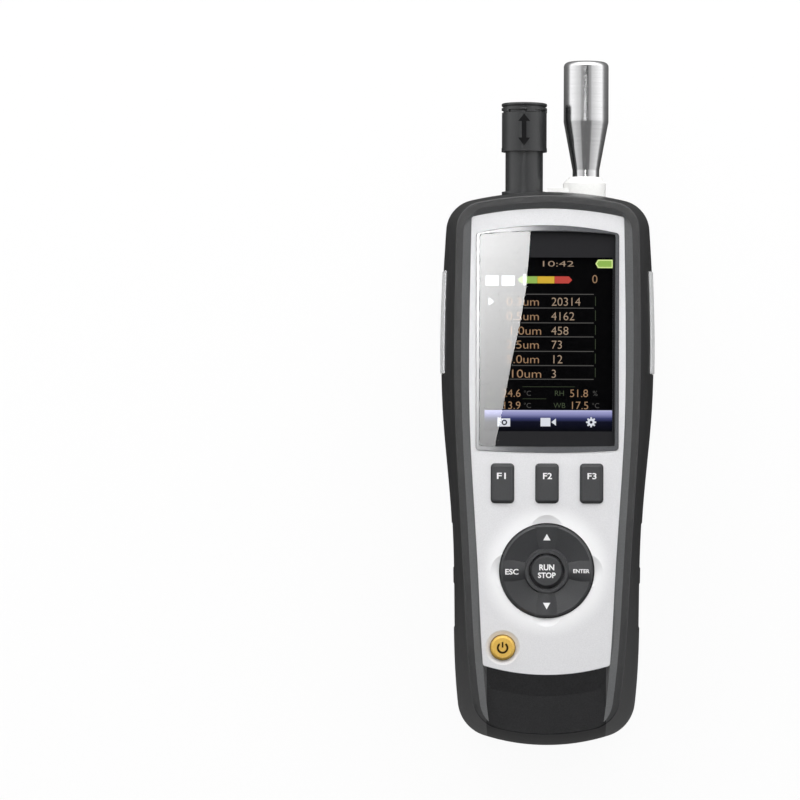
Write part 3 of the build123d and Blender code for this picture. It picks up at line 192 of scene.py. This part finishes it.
def turnedSteel():
    # turned and polished stainless steel: fine rings round its axis, which lies along Y
    material, tree, shader = newMaterial("turnedStainless", Metallic=1.0)
    place = addNode(tree, "ShaderNodeTexCoord").outputs["Object"]
    ringPitch = 0.12 * mm
    squeeze = addNode(tree, "ShaderNodeMapping", {"Scale": (30, 1 / ringPitch, 30)}, {"Vector": place})
    pattern = {"Scale": 1.0, "Detail": 2.0}
    rings = addNode(tree, "ShaderNodeTexNoise", pattern, {"Vector": squeeze.outputs["Vector"]}).outputs["Fac"]
    tone = colourRamp(tree, rings, [(0.3, "cacacb"), (0.7, "d8d8d9")])
    tree.links.new(tone, shader.inputs["Base Color"])
    rough = addNode(tree, "ShaderNodeMapRange", {"To Min": 0.12, "To Max": 0.24}, {"Value": rings})
    tree.links.new(rough.outputs["Result"], shader.inputs["Roughness"])
    bump = addNode(tree, "ShaderNodeBump", {"Strength": 0.1, "Distance": 0.002 * mm}, {"Height": rings})
    tree.links.new(bump.outputs["Normal"], shader.inputs["Normal"])
    return material


def clearAcrylic():
    # cast acrylic window, hard coated: thin enough to see straight through, with a mirror sheen on its face
    material, tree, shader = newMaterial("castAcrylic")
    place = addNode(tree, "ShaderNodeTexCoord").outputs["Object"]
    waves = {"Scale": 1 / (9 * mm), "Detail": 2.0}
    haze = addNode(tree, "ShaderNodeTexNoise", waves, {"Vector": place}).outputs["Fac"]
    rough = addNode(tree, "ShaderNodeMapRange", {"To Min": 0.004, "To Max": 0.012}, {"Value": haze})
    mirror = addNode(tree, "ShaderNodeBsdfGlossy", links={"Roughness": rough.outputs["Result"]})
    through = addNode(tree, "ShaderNodeBsdfTransparent", {"Color": (0.97, 0.97, 0.97, 1)})
    facing = addNode(tree, "ShaderNodeFresnel", {"IOR": 1.49})
    # its back is bonded to the panel behind it, so only its front mirrors the room
    behind = addNode(tree, "ShaderNodeNewGeometry").outputs["Backfacing"]
    front = addNode(tree, "ShaderNodeMath", {"operation": "SUBTRACT", 0: 1.0, "use_clamp": True}, {1: behind})
    share = addNode(
        tree, "ShaderNodeMath", {"operation": "MULTIPLY"}, {0: facing.outputs[0], 1: front.outputs[0]}
    )
    mixed = addNode(
        tree, "ShaderNodeMixShader",
        links={"Fac": share.outputs[0], 1: through.outputs[0], 2: mirror.outputs[0]}
    )
    tree.links.new(mixed.outputs[0], tree.nodes["Material Output"].inputs["Surface"])
    tree.nodes.remove(shader)
    return material


def circuitBoard():
    # glass-epoxy board under green mask: copper shows through it in a cell pattern
    material, tree, shader = newMaterial("greenSolderMask", IOR=1.5, Roughness=0.3)
    place = addNode(tree, "ShaderNodeTexCoord").outputs["Object"]
    pattern = {"Scale": 1 / (2.5 * mm), "distance": "MANHATTAN"}
    cells = addNode(tree, "ShaderNodeTexVoronoi", pattern, {"Vector": place})
    tone = colourRamp(tree, cells.outputs["Distance"], [(0.3, "1d5a34"), (0.5, "174a2a")])
    tree.links.new(tone, shader.inputs["Base Color"])
    return material


litGlass = {"Roughness": 0.4, "Specular IOR Level": 0.0, "Base Color": linear("080808")}


def litColour(name, colour):
    # a lit picture element: colour filter over the back light
    material, tree, shader = newMaterial(name, **litGlass)
    place = addNode(tree, "ShaderNodeTexCoord").outputs["Object"]
    dots = addNode(tree, "ShaderNodeTexNoise", {"Scale": 1 / (0.2 * mm)}, {"Vector": place})
    tone = addNode(tree, "ShaderNodeHueSaturation", {"Color": linear(colour)})
    span = {"To Min": 0.92, "To Max": 1.08}
    level = addNode(tree, "ShaderNodeMapRange", span, {"Value": dots.outputs["Fac"]})
    tree.links.new(level.outputs["Result"], tone.inputs["Value"])
    tree.links.new(tone.outputs["Color"], shader.inputs["Emission Color"])
    shader.inputs["Emission Strength"].default_value = 1.0
    return material


def printInk(name, colour, roughness=0.45, sheen=0.5):
    # pad-printed ink: slightly uneven cover
    return grained(name, colour, colour, 0.25, roughness, 0.002, **{"IOR": 1.5, "Specular IOR Level": sheen})


toolbar = {"left": -21.6, "right": 22.3, "foot": -9.6, "head": -2.4, "iconY": -6.5, "lightFoot": -9.65}


def toolbarLight():
    # lit picture element that runs from lilac at its top to nearly black at half its height
    material, tree, shader = newMaterial("displayLilac", **litGlass)
    place = addNode(tree, "ShaderNodeTexCoord").outputs["Object"]
    parts = addNode(tree, "ShaderNodeSeparateXYZ", links={"Vector": place})
    span = {"From Min": toolbar["lightFoot"] * mm, "From Max": toolbar["head"] * mm}
    along = addNode(tree, "ShaderNodeMapRange", span, {"Value": parts.outputs["Y"]})
    stops = [
        (0.0, "05060a"), (0.45, "101224"), (0.62, "3e4270"),
        (0.8, "8e90c0"), (0.93, "a8a9d6"), (1.0, "c9caef")
    ]
    tone = colourRamp(tree, along.outputs["Result"], stops)
    tree.links.new(tone, shader.inputs["Emission Color"])
    shader.inputs["Emission Strength"].default_value = 1.0
    return material


paint = silverPaint()
steel = turnedSteel()
acrylic = clearAcrylic()
board = circuitBoard()
whiteInk = printInk("whiteKeyInk", "f2f2f2")
brownInk = printInk("brownKeyInk", "2e1c08", 0.45, 0.1)
borderInk = printInk("darkWindowInk", "2d2d2f", 0.3, 0.0)
sleeveInk = printInk("sleeveInk", "121213", 0.6, 0.1)
screenBlack = litColour("displayBlack", "020203")
screenAmber = litColour("displayTan", "a8937e")
screenOrange = litColour("displayOrange", "a48466")
screenDim = litColour("displayGrey", "555452")
screenFaint = litColour("displayOlive", "46503c")
screenWhite = litColour("displayWhite", "e2e6ee")
screenGreen = litColour("displayGreen", "96bb5a")
screenPale = litColour("displayPaleGreen", "dcf09c")
screenYellow = litColour("displayYellow", "d9b23c")
screenRed = litColour("displayRed", "c24a42")
screenLilac = toolbarLight()

nodeFinish = {
    softRubber: ["front_grip", "rear_grip"],
    rimPlastic: ["front_cover", "rear_cover"],
    paint: ["faceplate"],
    ringPlastic: ["display_bezel"],
    acrylic: ["display_lens", "camera_window"],
    screenBlack: ["lcd_panel"],
    keyPlastic: ["function_key_1", "function_key_2", "function_key_3", "nav_ring", "run_key"],
    goldPlastic: ["power_key"],
    probePlastic: ["sensor_post", "sensor_cap", "sensor_sleeve"],
    whitePlastic: ["inlet_collar", "exhaust_filter"],
    doorPlastic: ["left_port_door", "right_port_door"],
    steel: ["sampling_nozzle", "inlet_spigot", "left_hinge_pin", "right_hinge_pin", "pump_motor"],
    siliconeRubber: ["key_mat", "inlet_ring"],
    board: ["key_board", "main_board", "detector_board", "climate_sensor"],
    blockMetal: ["sensing_block"],
    brassMetal: ["laser_module", "tripod_insert"],
    zincMetal: [
        "usb_socket", "card_socket", "housing_screws", "hatch_screw", "key_board_screws", "main_board_screws"
    ],
    blackPlastic: [
        "lcd_frame", "nav_gimbal", "nav_post", "dc_jack", "pump_head", "battery_hatch", "camera_module",
        "speaker"
    ],
    tubeSilicone: ["sample_tube", "exhaust_tube"],
    sleeveFilm: ["battery_pack"],
}
smoothAngle = math.radians(32)
for material, names in nodeFinish.items():
    for name in names:
        mesh = nodes[name].data
        mesh.materials.clear()
        mesh.materials.append(material)
for node in nodes.values():
    bpy.ops.object.select_all(action="DESELECT")
    bpy.context.view_layer.objects.active = node
    node.select_set(True)
    bpy.ops.object.shade_smooth_by_angle(angle=smoothAngle)
print("finishes set on", len(nodes), "carried pieces")


# modelling helpers: everything is made where it belongs, then its object's origin goes to the frame's

def settle(piece, name, material, body):
    bpy.ops.object.select_all(action="DESELECT")
    bpy.context.view_layer.objects.active = piece
    piece.select_set(True)
    bpy.ops.object.transform_apply(location=True, rotation=True, scale=True)
    piece.name = name
    piece.data.name = name
    piece.data.materials.clear()
    piece.data.materials.append(material)
    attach(piece, body)
    return piece


def outlineMesh(loops, low, high, name):
    # an outline drawn as a filled curve, then raised: used for print, lit shapes and the studio's sheet
    curve = bpy.data.curves.new(name, "CURVE")
    curve.dimensions = "2D"
    curve.fill_mode = "BOTH"
    curve.extrude = (high - low) * mm / 2
    for loop in loops:
        line = curve.splines.new("POLY")
        line.points.add(len(loop) - 1)
        for point, (x, y) in zip(line.points, loop):
            point.co = (x * mm, y * mm, 0, 1)
        line.use_cyclic_u = True
    piece = bpy.data.objects.new(name, curve)
    bpy.context.scene.collection.objects.link(piece)
    piece.location = (0, 0, (low + high) * mm / 2)
    bpy.ops.object.select_all(action="DESELECT")
    bpy.context.view_layer.objects.active = piece
    piece.select_set(True)
    bpy.ops.object.convert(target="MESH")
    return bpy.context.object


def flatShape(loops, low, high, name, material, body):
    return settle(outlineMesh(loops, low, high, name), name, material, body)


def lettering(words, name, capHeight, x, y, low, material, body, bold, align, thick, width):
    # words set in Blender's own face, scaled to a cap height and, where a width is given, to that width
    bpy.ops.object.select_all(action="DESELECT")
    bpy.ops.object.text_add(location=(0, 0, 0))
    piece = bpy.context.object
    halfDepth = 0.02
    piece.data.body = words
    piece.data.offset = bold
    piece.data.extrude = halfDepth
    piece.data.resolution_u = 4
    piece.data.align_x = align
    bpy.ops.object.convert(target="MESH")
    piece = bpy.context.object
    xs = [v.co.x for v in piece.data.vertices]
    ys = [v.co.y for v in piece.data.vertices]
    scale = capHeight * mm / (max(ys) - min(ys))
    across = scale if width is None else width * mm / (max(xs) - min(xs))
    piece.scale = (across, scale, thick * mm / (2 * halfDepth))
    piece.location = (x * mm, y * mm - scale * (max(ys) + min(ys)) / 2, (low + thick / 2) * mm)
    return settle(piece, name, material, body)


def lay(piece, node, lift, cuts=1):
    # settle a thin print on a curved face, point by point, with rays cast down from clear above the case
    clearHeight = 80 * mm
    bpy.ops.object.select_all(action="DESELECT")
    bpy.context.view_layer.objects.active = piece
    piece.select_set(True)
    bpy.ops.object.mode_set(mode="EDIT")
    bpy.ops.mesh.select_all(action="SELECT")
    bpy.ops.mesh.subdivide(number_cuts=cuts)
    bpy.ops.object.mode_set(mode="OBJECT")
    surface = BVHTree.FromObject(nodes[node], bpy.context.evaluated_depsgraph_get())
    low = min(v.co.z for v in piece.data.vertices)
    for vertex in piece.data.vertices:
        hit = surface.ray_cast(Vector((vertex.co.x, vertex.co.y, clearHeight)), Vector((0, 0, -1)))[0]
        if hit:
            vertex.co.z = hit.z + lift * mm + vertex.co.z - low
    return piece


def box(x0, x1, y0, y1):
    return [(x0, y0), (x1, y0), (x1, y1), (x0, y1)]


def circle(x, y, radius, count=48, start=0.0, turn=360.0):
    steps = count if turn >= 360 else count + 1
    return [
        (x + radius * math.cos(math.radians(start + turn * i / count)),
         y + radius * math.sin(math.radians(start + turn * i / count)))
        for i in range(steps)
    ]


def moved(points, x, y):
    return [(x + px, y + py) for px, py in points]


def top(node):
    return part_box(node)[1].z / mm


# window: printed border inside the lens, round the lit area

window = {
    "lift": 0.01, "ink": 0.02, "inset": 0.1, "topRadius": 250, "footRadius": 900, "steps": 16,
    "litLeft": -21.7, "litRight": 22.4, "litTop": 50.1, "litFoot": -9.65
}
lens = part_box("display_lens")
lensLeft, lensRight = lens[0].x / mm + window["inset"], lens[1].x / mm - window["inset"]
lensFoot, lensTop = lens[0].y / mm + window["inset"], lens[1].y / mm - window["inset"]
inkFoot = lens[0].z / mm + window["lift"]


def edgeLine(y, radius, turn):
    # the arched end of the window, from one corner to the other
    middle = (lensLeft + lensRight) / 2
    xs = [lensLeft + (lensRight - lensLeft) * i / window["steps"] for i in range(window["steps"] + 1)]
    return [(x, y - turn * (radius - math.sqrt(radius ** 2 - (x - middle) ** 2))) for x in xs]


outer = edgeLine(lensTop, window["topRadius"], 1) + edgeLine(lensFoot, window["footRadius"], -1)[::-1]
litBox = box(window["litLeft"], window["litRight"], window["litFoot"], window["litTop"])
flatShape([outer, litBox], inkFoot, inkFoot + window["ink"], "window_border", borderInk, "housing")
print("window border made")


# display: what the lit area shows

layer = {"lift": 0.02, "step": 0.04, "shape": 0.03, "letter": 0.02, "thin": -0.008}
display = {
    "rowYs": [34.95, 29.95, 24.95, 20.15, 15.15, 10.15],
    "labels": ["0.3um", "0.5um", "1.0um", "2.5um", "5.0um", "10um"],
    "labelXs": [-14.3, -14.3, -13.6, -14.3, -14.3, -13.2],
    "labelEnd": -3.2,
    "counts": ["20314", "4162", "458", "73", "12", "3"],
    "countX": 1.2,
    "textHeight": 2.8,
    "ruleYs": [37.5, 32.75, 27.65, 22.85, 17.85, 12.95, 8.25],
    "ruleHalf": 0.14,
    "ruleLeft": -15.4,
    "ruleRight": 15.9,
    "endLeft": 16.38,
    "endRight": 16.55,
    "endGap": 0.75,
}
litZ = top("lcd_panel") + layer["lift"]


def lit(words, name, height, x, y, material, align="LEFT", width=None):
    low = litZ + layer["step"]
    return lettering(
        words, name, height, x, y, low, material, "housing",
        layer["thin"], align, layer["letter"], width
    )


def litShape(loops, name, material, step=0):
    low = litZ + step * layer["step"]
    return flatShape(loops, low, low + layer["shape"], name, material, "housing")


for index, y in enumerate(display["rowYs"]):
    label, labelX, count = (display[key][index] for key in ("labels", "labelXs", "counts"))
    labelWidth = display["labelEnd"] - labelX
    lit(label, f"channel_{index}", display["textHeight"], labelX, y, screenOrange, "LEFT", labelWidth)
    lit(count, f"count_{index}", display["textHeight"], display["countX"], y, screenAmber)
half = display["ruleHalf"]
rules = [box(display["ruleLeft"], display["ruleRight"], y - half, y + half) for y in display["ruleYs"]]
litShape(rules, "row_rules", screenDim)
gap = display["endGap"]
ends = [
    box(display["endLeft"], display["endRight"], low + gap, high - gap)
    for high, low in zip(display["ruleYs"], display["ruleYs"][1:])
]
litShape(ends, "row_ends", screenFaint)

cursor = {"left": -20.3, "tip": -18.4, "half": 1.4}
y = display["rowYs"][0]
cursorShape = [(cursor["left"], y - cursor["half"]), (cursor["tip"], y), (cursor["left"], y + cursor["half"])]
litShape([cursorShape], "row_cursor", screenWhite)

status = {"y": 48.0, "height": 1.9, "dateX": -13.5, "clockX": 3.2, "clockWidth": 10.6}
lit("06-15", "date_digits", status["height"], status["dateX"], status["y"], screenDim)
lit(
    "10:42", "clock_digits", status["height"], status["clockX"], status["y"], screenAmber, "CENTER",
    status["clockWidth"]
)

battery = {
    "edge": [(16.4, 48.05), (17.3, 49.45), (22.35, 49.45), (22.35, 46.55), (17.3, 46.55)],
    "charge": [(16.9, 48.05), (17.6, 49.05), (21.95, 49.05), (21.95, 46.95), (17.6, 46.95)],
}
litShape([battery["edge"]], "battery_edge", screenPale)
litShape([battery["charge"]], "battery_charge", screenGreen, 1)

modes = {"lefts": (-21.3, -15.8), "width": 4.4, "foot": 40.45, "head": 43.85}
tiles = [box(left, left + modes["width"], modes["foot"], modes["head"]) for left in modes["lefts"]]
litShape(tiles, "mode_icons", screenWhite)

gauge = {
    "foot": 41.25, "head": 43.65, "tipY": 42.4, "leftTip": -10.3, "leftShoulder": -9.1, "greenEnd": -3.6,
    "yellowStart": -3.55, "yellowEnd": 2.3, "redStart": 2.35, "rightShoulder": 7.3, "rightTip": 8.4,
    "marker": (-8.4, -7.6, 40.5, 44.4), "valueX": 15.2, "valueY": 42.75
}
foot, head, tipY = gauge["foot"], gauge["head"], gauge["tipY"]
green = [(gauge["leftTip"], tipY), (gauge["leftShoulder"], foot), (gauge["greenEnd"], foot)]
green += [(gauge["greenEnd"], head), (gauge["leftShoulder"], head)]
litShape([green], "gauge_green", screenGreen)
litShape([box(gauge["yellowStart"], gauge["yellowEnd"], foot, head)], "gauge_yellow", screenYellow)
red = [(gauge["redStart"], foot), (gauge["rightShoulder"], foot), (gauge["rightTip"], tipY)]
red += [(gauge["rightShoulder"], head), (gauge["redStart"], head)]
litShape([red], "gauge_red", screenRed)
litShape([box(*gauge["marker"])], "gauge_marker", screenWhite, 1)
lit("0", "gauge_value", display["textHeight"], gauge["valueX"], gauge["valueY"], screenOrange)

climate = {
    "high": [("AT", -21.0), ("24.6", -15.6), ("°C", -8.2), ("RH", 2.4), ("51.8", 7.6), ("%", 15.6)],
    "low": [("DP", -21.0), ("13.9", -15.6), ("°C", -8.2), ("WB", 2.1), ("17.5", 7.7), ("°C", 15.3)],
    "ys": {"high": 3.45, "low": -0.75},
    "valueHeight": 2.6,
    "wordHeight": 1.75,
    "rules": [(-8.5, 9.5, 5.6, 5.72), (-8.5, -0.3, 1.45, 1.57)],
}
for row, y in climate["ys"].items():
    for index, (words, x) in enumerate(climate[row]):
        if words[0].isdigit():
            height, tone = climate["valueHeight"], screenOrange
        else:
            height, tone = climate["wordHeight"], screenFaint if index in (0, 3) else screenDim
        lit(words, f"climate_{row}_{index}", height, x, y, tone)
litShape([box(*rule) for rule in climate["rules"]], "climate_rules", screenFaint)

litShape([box(toolbar["left"], toolbar["right"], toolbar["foot"], toolbar["head"])], "toolbar", screenLilac)
cameraIcon = {
    "x": -14.95, "lens": (0.2, -0.15), "rim": 0.95, "glass": 0.5,
    "body": [(-2.2, -1.55), (2.2, -1.55), (2.2, 1.25), (-0.9, 1.25), (-1.1, 1.6), (-1.9, 1.6), (-2.2, 1.25)],
}
y = toolbar["iconY"]
cameraRims = [circle(*cameraIcon["lens"], cameraIcon[part]) for part in ("rim", "glass")]
cameraLoops = [moved(loop, cameraIcon["x"], y) for loop in [cameraIcon["body"], *cameraRims]]
litShape(cameraLoops, "camera_icon", screenWhite, 1)
videoIcon = {"x": 0.2, "body": box(-2.5, 0.9, -1.45, 1.45), "horn": [(1.2, 0), (2.8, 1.25), (2.8, -1.25)]}
videoLoops = [moved(videoIcon[part], videoIcon["x"], y) for part in ("body", "horn")]
litShape(videoLoops, "video_icon", screenWhite, 1)
gearIcon = {"x": 15.1, "teeth": 8, "profile": [(-13, 1.25), (-9, 1.75), (9, 1.75), (13, 1.25)], "hole": 0.5}
teeth = []
for tooth in range(gearIcon["teeth"]):
    for turn, radius in gearIcon["profile"]:
        angle = math.radians(tooth * 360 / gearIcon["teeth"] + turn)
        teeth.append((radius * math.cos(angle), radius * math.sin(angle)))
gearLoops = [moved(loop, gearIcon["x"], y) for loop in (teeth, circle(0, 0, gearIcon["hole"]))]
litShape(gearLoops, "gear_icon", screenWhite, 1)
print("display drawn")


# key legends

legend = {
    "lift": 0.004, "padLift": 0.03, "sleeveLift": 0.02, "sleeveCuts": 5, "thick": 0.03,
    "functionXs": (-15.4, 0.1, 15.4), "functionY": -24.95, "functionHeight": 2.15, "functionWidth": 3.1,
    "words": [
        ("RUN", "run_legend", 2.05, 0.0, -56.3, "run_key", "run_button", 0.03, 5.15),
        ("STOP", "stop_legend", 1.93, 0.0, -59.0, "run_key", "run_button", 0.03, 6.1),
        ("ESC", "escape_legend", 1.95, -12.0, -57.85, "nav_ring", "nav_pad", 0.025, 4.55),
        ("ENTER", "enter_legend", 1.35, 11.8, -57.55, "nav_ring", "nav_pad", 0.025, 5.6),
    ],
}


def printed(words, name, height, x, y, node, body, bold, width):
    low = top(node) + legend["lift"]
    piece = lettering(
        words, name, height, x, y, low, whiteInk, body, bold, "CENTER", legend["thick"], width
    )
    return lay(piece, node, legend["padLift"] if node == "nav_ring" else legend["lift"])


for index, x in enumerate(legend["functionXs"]):
    number = index + 1
    printed(
        f"F{number}", f"function_legend_{number}", legend["functionHeight"], x, legend["functionY"],
        f"function_key_{number}", f"function_{number}", 0.02, legend["functionWidth"]
    )
for line in legend["words"]:
    printed(*line)

pointer = {"ys": {"up_legend": -45.95, "down_legend": -69.55}, "half": 1.25, "back": 1.1, "tip": 1.15}
navTop = top("nav_ring")
for name, y in pointer["ys"].items():
    turn = 1 if name == "up_legend" else -1
    arrow = [
        (-pointer["half"], y - pointer["back"] * turn), (pointer["half"], y - pointer["back"] * turn),
        (0, y + pointer["tip"] * turn)
    ]
    sign = flatShape([arrow], navTop, navTop + legend["thick"], name, whiteInk, "nav_pad")
    lay(sign, "nav_ring", legend["padLift"])

power = {
    "x": -15.05, "y": -83.95, "radius": 2.0, "stroke": 0.7, "gap": 36, "count": 40, "barHalf": 0.28,
    "barFoot": 0.1, "barHead": 2.0
}
sweep = 360 - 2 * power["gap"]
outerArc, innerArc = (
    circle(power["x"], power["y"], radius, power["count"], 90 + power["gap"], sweep)
    for radius in (power["radius"], power["radius"] - power["stroke"])
)
bar = box(-power["barHalf"], power["barHalf"], power["barFoot"], power["barHead"])
powerLoops = [outerArc + innerArc[::-1], moved(bar, power["x"], power["y"])]
powerTop = top("power_key")
powerSign = flatShape(
    powerLoops, powerTop, powerTop + legend["thick"], "power_legend", brownInk, "power_button"
)
lay(powerSign, "power_key", legend["lift"])

twoWay = {
    "x": -8.4, "shaft": 0.8, "head": 2.1,
    "top": 101.15, "topNeck": 98.55, "footNeck": 92.75, "foot": 89.95
}
arrowHalf = [
    (0, twoWay["top"]), (twoWay["head"], twoWay["topNeck"]), (twoWay["shaft"], twoWay["topNeck"]),
    (twoWay["shaft"], twoWay["footNeck"]), (twoWay["head"], twoWay["footNeck"]), (0, twoWay["foot"])
]
arrow = moved(arrowHalf + [(-x, y) for x, y in arrowHalf[-2:0:-1]], twoWay["x"], 0)
sleeveTop = top("sensor_sleeve")
sleeveArrow = flatShape(
    [arrow], sleeveTop, sleeveTop + legend["thick"], "sleeve_arrow", sleeveInk, "sleeve"
)
lay(sleeveArrow, "sensor_sleeve", legend["sleeveLift"], legend["sleeveCuts"])
print("legends printed")


# floor, sky, lamps and camera

studio = {
    "distance": 1.15, "middle": 0.0285, "scale": 0.3516 * mm, "axisY": 1.11 * mm, "originPixel": 547.3,
    "size": 800, "sensor": 36, "roll": 0.00326, "aim": (0, 0, 0.03)
}
white = (1, 1, 1, 1)

# shadeStart, shadeEnd and shade set the painted shade that the floor shows to glossy rays; glow is its evenly
# white share for the camera
floorLook = {"size": 6, "shadeStart": 0.08, "shadeEnd": 0.4, "shade": 0.05, "glow": 0.94}
bpy.ops.object.select_all(action="DESELECT")
bpy.ops.mesh.primitive_plane_add(size=floorLook["size"], location=(0, 0, 0))
floor = bpy.context.object
floor.name = "floor"
floorColour = {"Roughness": 0.8, "Base Color": linear("f4f4f4")}
floorPaint, tree, floorShader = newMaterial("studioSweep", **floorColour)
path = addNode(tree, "ShaderNodeLightPath")
floorPlace = addNode(tree, "ShaderNodeTexCoord").outputs["Object"]
away = addNode(tree, "ShaderNodeVectorMath", {"operation": "LENGTH"}, {0: floorPlace})
# painted shade: to glossy rays the floor glows dimmer near the case, standing in for the shadow the case
# casts there, so what the case mirrors there is dark
shade = {
    "From Min": floorLook["shadeStart"], "From Max": floorLook["shadeEnd"],
    "To Min": floorLook["shade"], "To Max": 1.0
}
paintedFloorShade = addNode(tree, "ShaderNodeMapRange", shade, {"Value": away.outputs["Value"]})
floorLevel = addNode(
    tree, "ShaderNodeMix", {0: 0.0, 2: 1.0},
    {0: path.outputs["Is Glossy Ray"], 3: paintedFloorShade.outputs["Result"]}
)
seen = addNode(
    tree, "ShaderNodeMath", {"operation": "MAXIMUM"},
    {0: path.outputs["Is Camera Ray"], 1: path.outputs["Is Transmission Ray"]}
)
dimmed = {"operation": "MULTIPLY", 1: floorLook["glow"]}
direct = addNode(tree, "ShaderNodeMath", dimmed, {0: seen.outputs[0]})
glowShare = addNode(
    tree, "ShaderNodeMath", {"operation": "MAXIMUM"},
    {0: direct.outputs[0], 1: path.outputs["Is Glossy Ray"]}
)
glow = addNode(tree, "ShaderNodeEmission", {"Color": white}, {"Strength": floorLevel.outputs[0]})
mixed = addNode(
    tree, "ShaderNodeMixShader",
    links={"Fac": glowShare.outputs[0], 1: floorShader.outputs[0], 2: glow.outputs[0]}
)
tree.links.new(mixed.outputs[0], tree.nodes["Material Output"].inputs["Surface"])
floor.data.materials.append(floorPaint)

# overhead the room is dark, and towards the foot too; round the head and the sides hang white sheets
sky = {
    "levels": [(0.0, 0.9), (0.4, 0.75), (0.7, 0.5), (0.85, 0.36), (0.968, 0.36), (0.986, 0.03), (1.0, 0.0)],
    "lengthways": {"From Min": -0.5, "From Max": 0.35, "To Min": 0.12, "To Max": 1.7},
}
world = bpy.data.worlds.new("studio")
bpy.context.scene.world = world
world.use_nodes = True
tree = world.node_tree
background = tree.nodes["Background"]
path = addNode(tree, "ShaderNodeLightPath")
direction = addNode(tree, "ShaderNodeTexCoord").outputs["Generated"]
parts = addNode(tree, "ShaderNodeSeparateXYZ", links={"Vector": direction})
overhead = colourRamp(tree, parts.outputs["Z"], sky["levels"])
lengthways = addNode(tree, "ShaderNodeMapRange", sky["lengthways"], {"Value": parts.outputs["Y"]})
room = addNode(
    tree, "ShaderNodeMath", {"operation": "MULTIPLY"}, {0: overhead, 1: lengthways.outputs["Result"]}
)
strength = addNode(
    tree, "ShaderNodeMath", {"operation": "MAXIMUM"}, {0: room.outputs[0], 1: path.outputs["Is Camera Ray"]}
)
background.inputs["Color"].default_value = white
tree.links.new(strength.outputs[0], background.inputs["Strength"])

# the bright sheet over the window that its glare mirrors: brighter towards its head and its left
sheet = {
    "edge": [
        (-11.6, 126), (-11.8, 117), (-14.5, 79), (-19.1, 52),
        (-24.7, 27), (-31, -7), (-34.3, -23), (-42, -60)
    ],
    "left": -90, "foot": -60, "head": 126, "height": 1178, "thick": 1,
    "along": {"From Min": -31 * mm, "From Max": 116 * mm, "To Min": 9.3, "To Max": 29.0},
    "across": {"From Min": -60 * mm, "From Max": -15 * mm, "To Min": 1.1, "To Max": 0.82},
}
sheetLoop = sheet["edge"] + [(sheet["left"], sheet["foot"]), (sheet["left"], sheet["head"])]
card = outlineMesh([sheetLoop], sheet["height"], sheet["height"] + sheet["thick"], "glare_sheet")
cardPaint, tree, cardShader = newMaterial("litSheet")
cardPlace = addNode(tree, "ShaderNodeTexCoord").outputs["Object"]
cardParts = addNode(tree, "ShaderNodeSeparateXYZ", links={"Vector": cardPlace})
along = addNode(tree, "ShaderNodeMapRange", sheet["along"], {"Value": cardParts.outputs["Y"]})
across = addNode(tree, "ShaderNodeMapRange", sheet["across"], {"Value": cardParts.outputs["X"]})
cardLevel = addNode(
    tree, "ShaderNodeMath", {"operation": "MULTIPLY"},
    {0: along.outputs["Result"], 1: across.outputs["Result"]}
)
cardGlow = addNode(tree, "ShaderNodeEmission", {"Color": white}, {"Strength": cardLevel.outputs[0]})
tree.links.new(cardGlow.outputs[0], tree.nodes["Material Output"].inputs["Surface"])
tree.nodes.remove(cardShader)
card.data.materials.append(cardPaint)
card.visible_camera = False

lamps = {
    "leftBank": {"place": (-1.1, 0.15, 0.6), "size": (1.2, 1.8), "power": 2.7},
    "rightBank": {"place": (1.1, 0.15, 0.6), "size": (1.2, 1.8), "power": 3.1},
    "headBank": {"place": (0.0, 0.62, 0.5), "size": (1.4, 0.6), "power": 6.0},
}
for name, lamp in lamps.items():
    light = bpy.data.lights.new(name, "AREA")
    light.shape = "RECTANGLE"
    light.size, light.size_y = lamp["size"]
    light.energy = lamp["power"]
    holder = bpy.data.objects.new(name, light)
    bpy.context.scene.collection.objects.link(holder)
    holder.location = lamp["place"]
    towards = Vector(studio["aim"]) - Vector(lamp["place"])
    holder.rotation_euler = towards.to_track_quat("-Z", "Y").to_euler()

camera = bpy.data.cameras.new("camera")
camera.sensor_width = studio["sensor"]
camera.lens = studio["sensor"] * studio["distance"] / (studio["scale"] * studio["size"])
camera.shift_x = -(studio["originPixel"] - studio["size"] / 2) / studio["size"]
holder = bpy.data.objects.new("camera", camera)
bpy.context.scene.collection.objects.link(holder)
holder.location = (0, studio["axisY"], studio["distance"] + studio["middle"])
holder.rotation_euler.z = studio["roll"]
bpy.context.scene.camera = holder
bpy.context.scene.view_settings.view_transform = "Standard"
print("studio set")
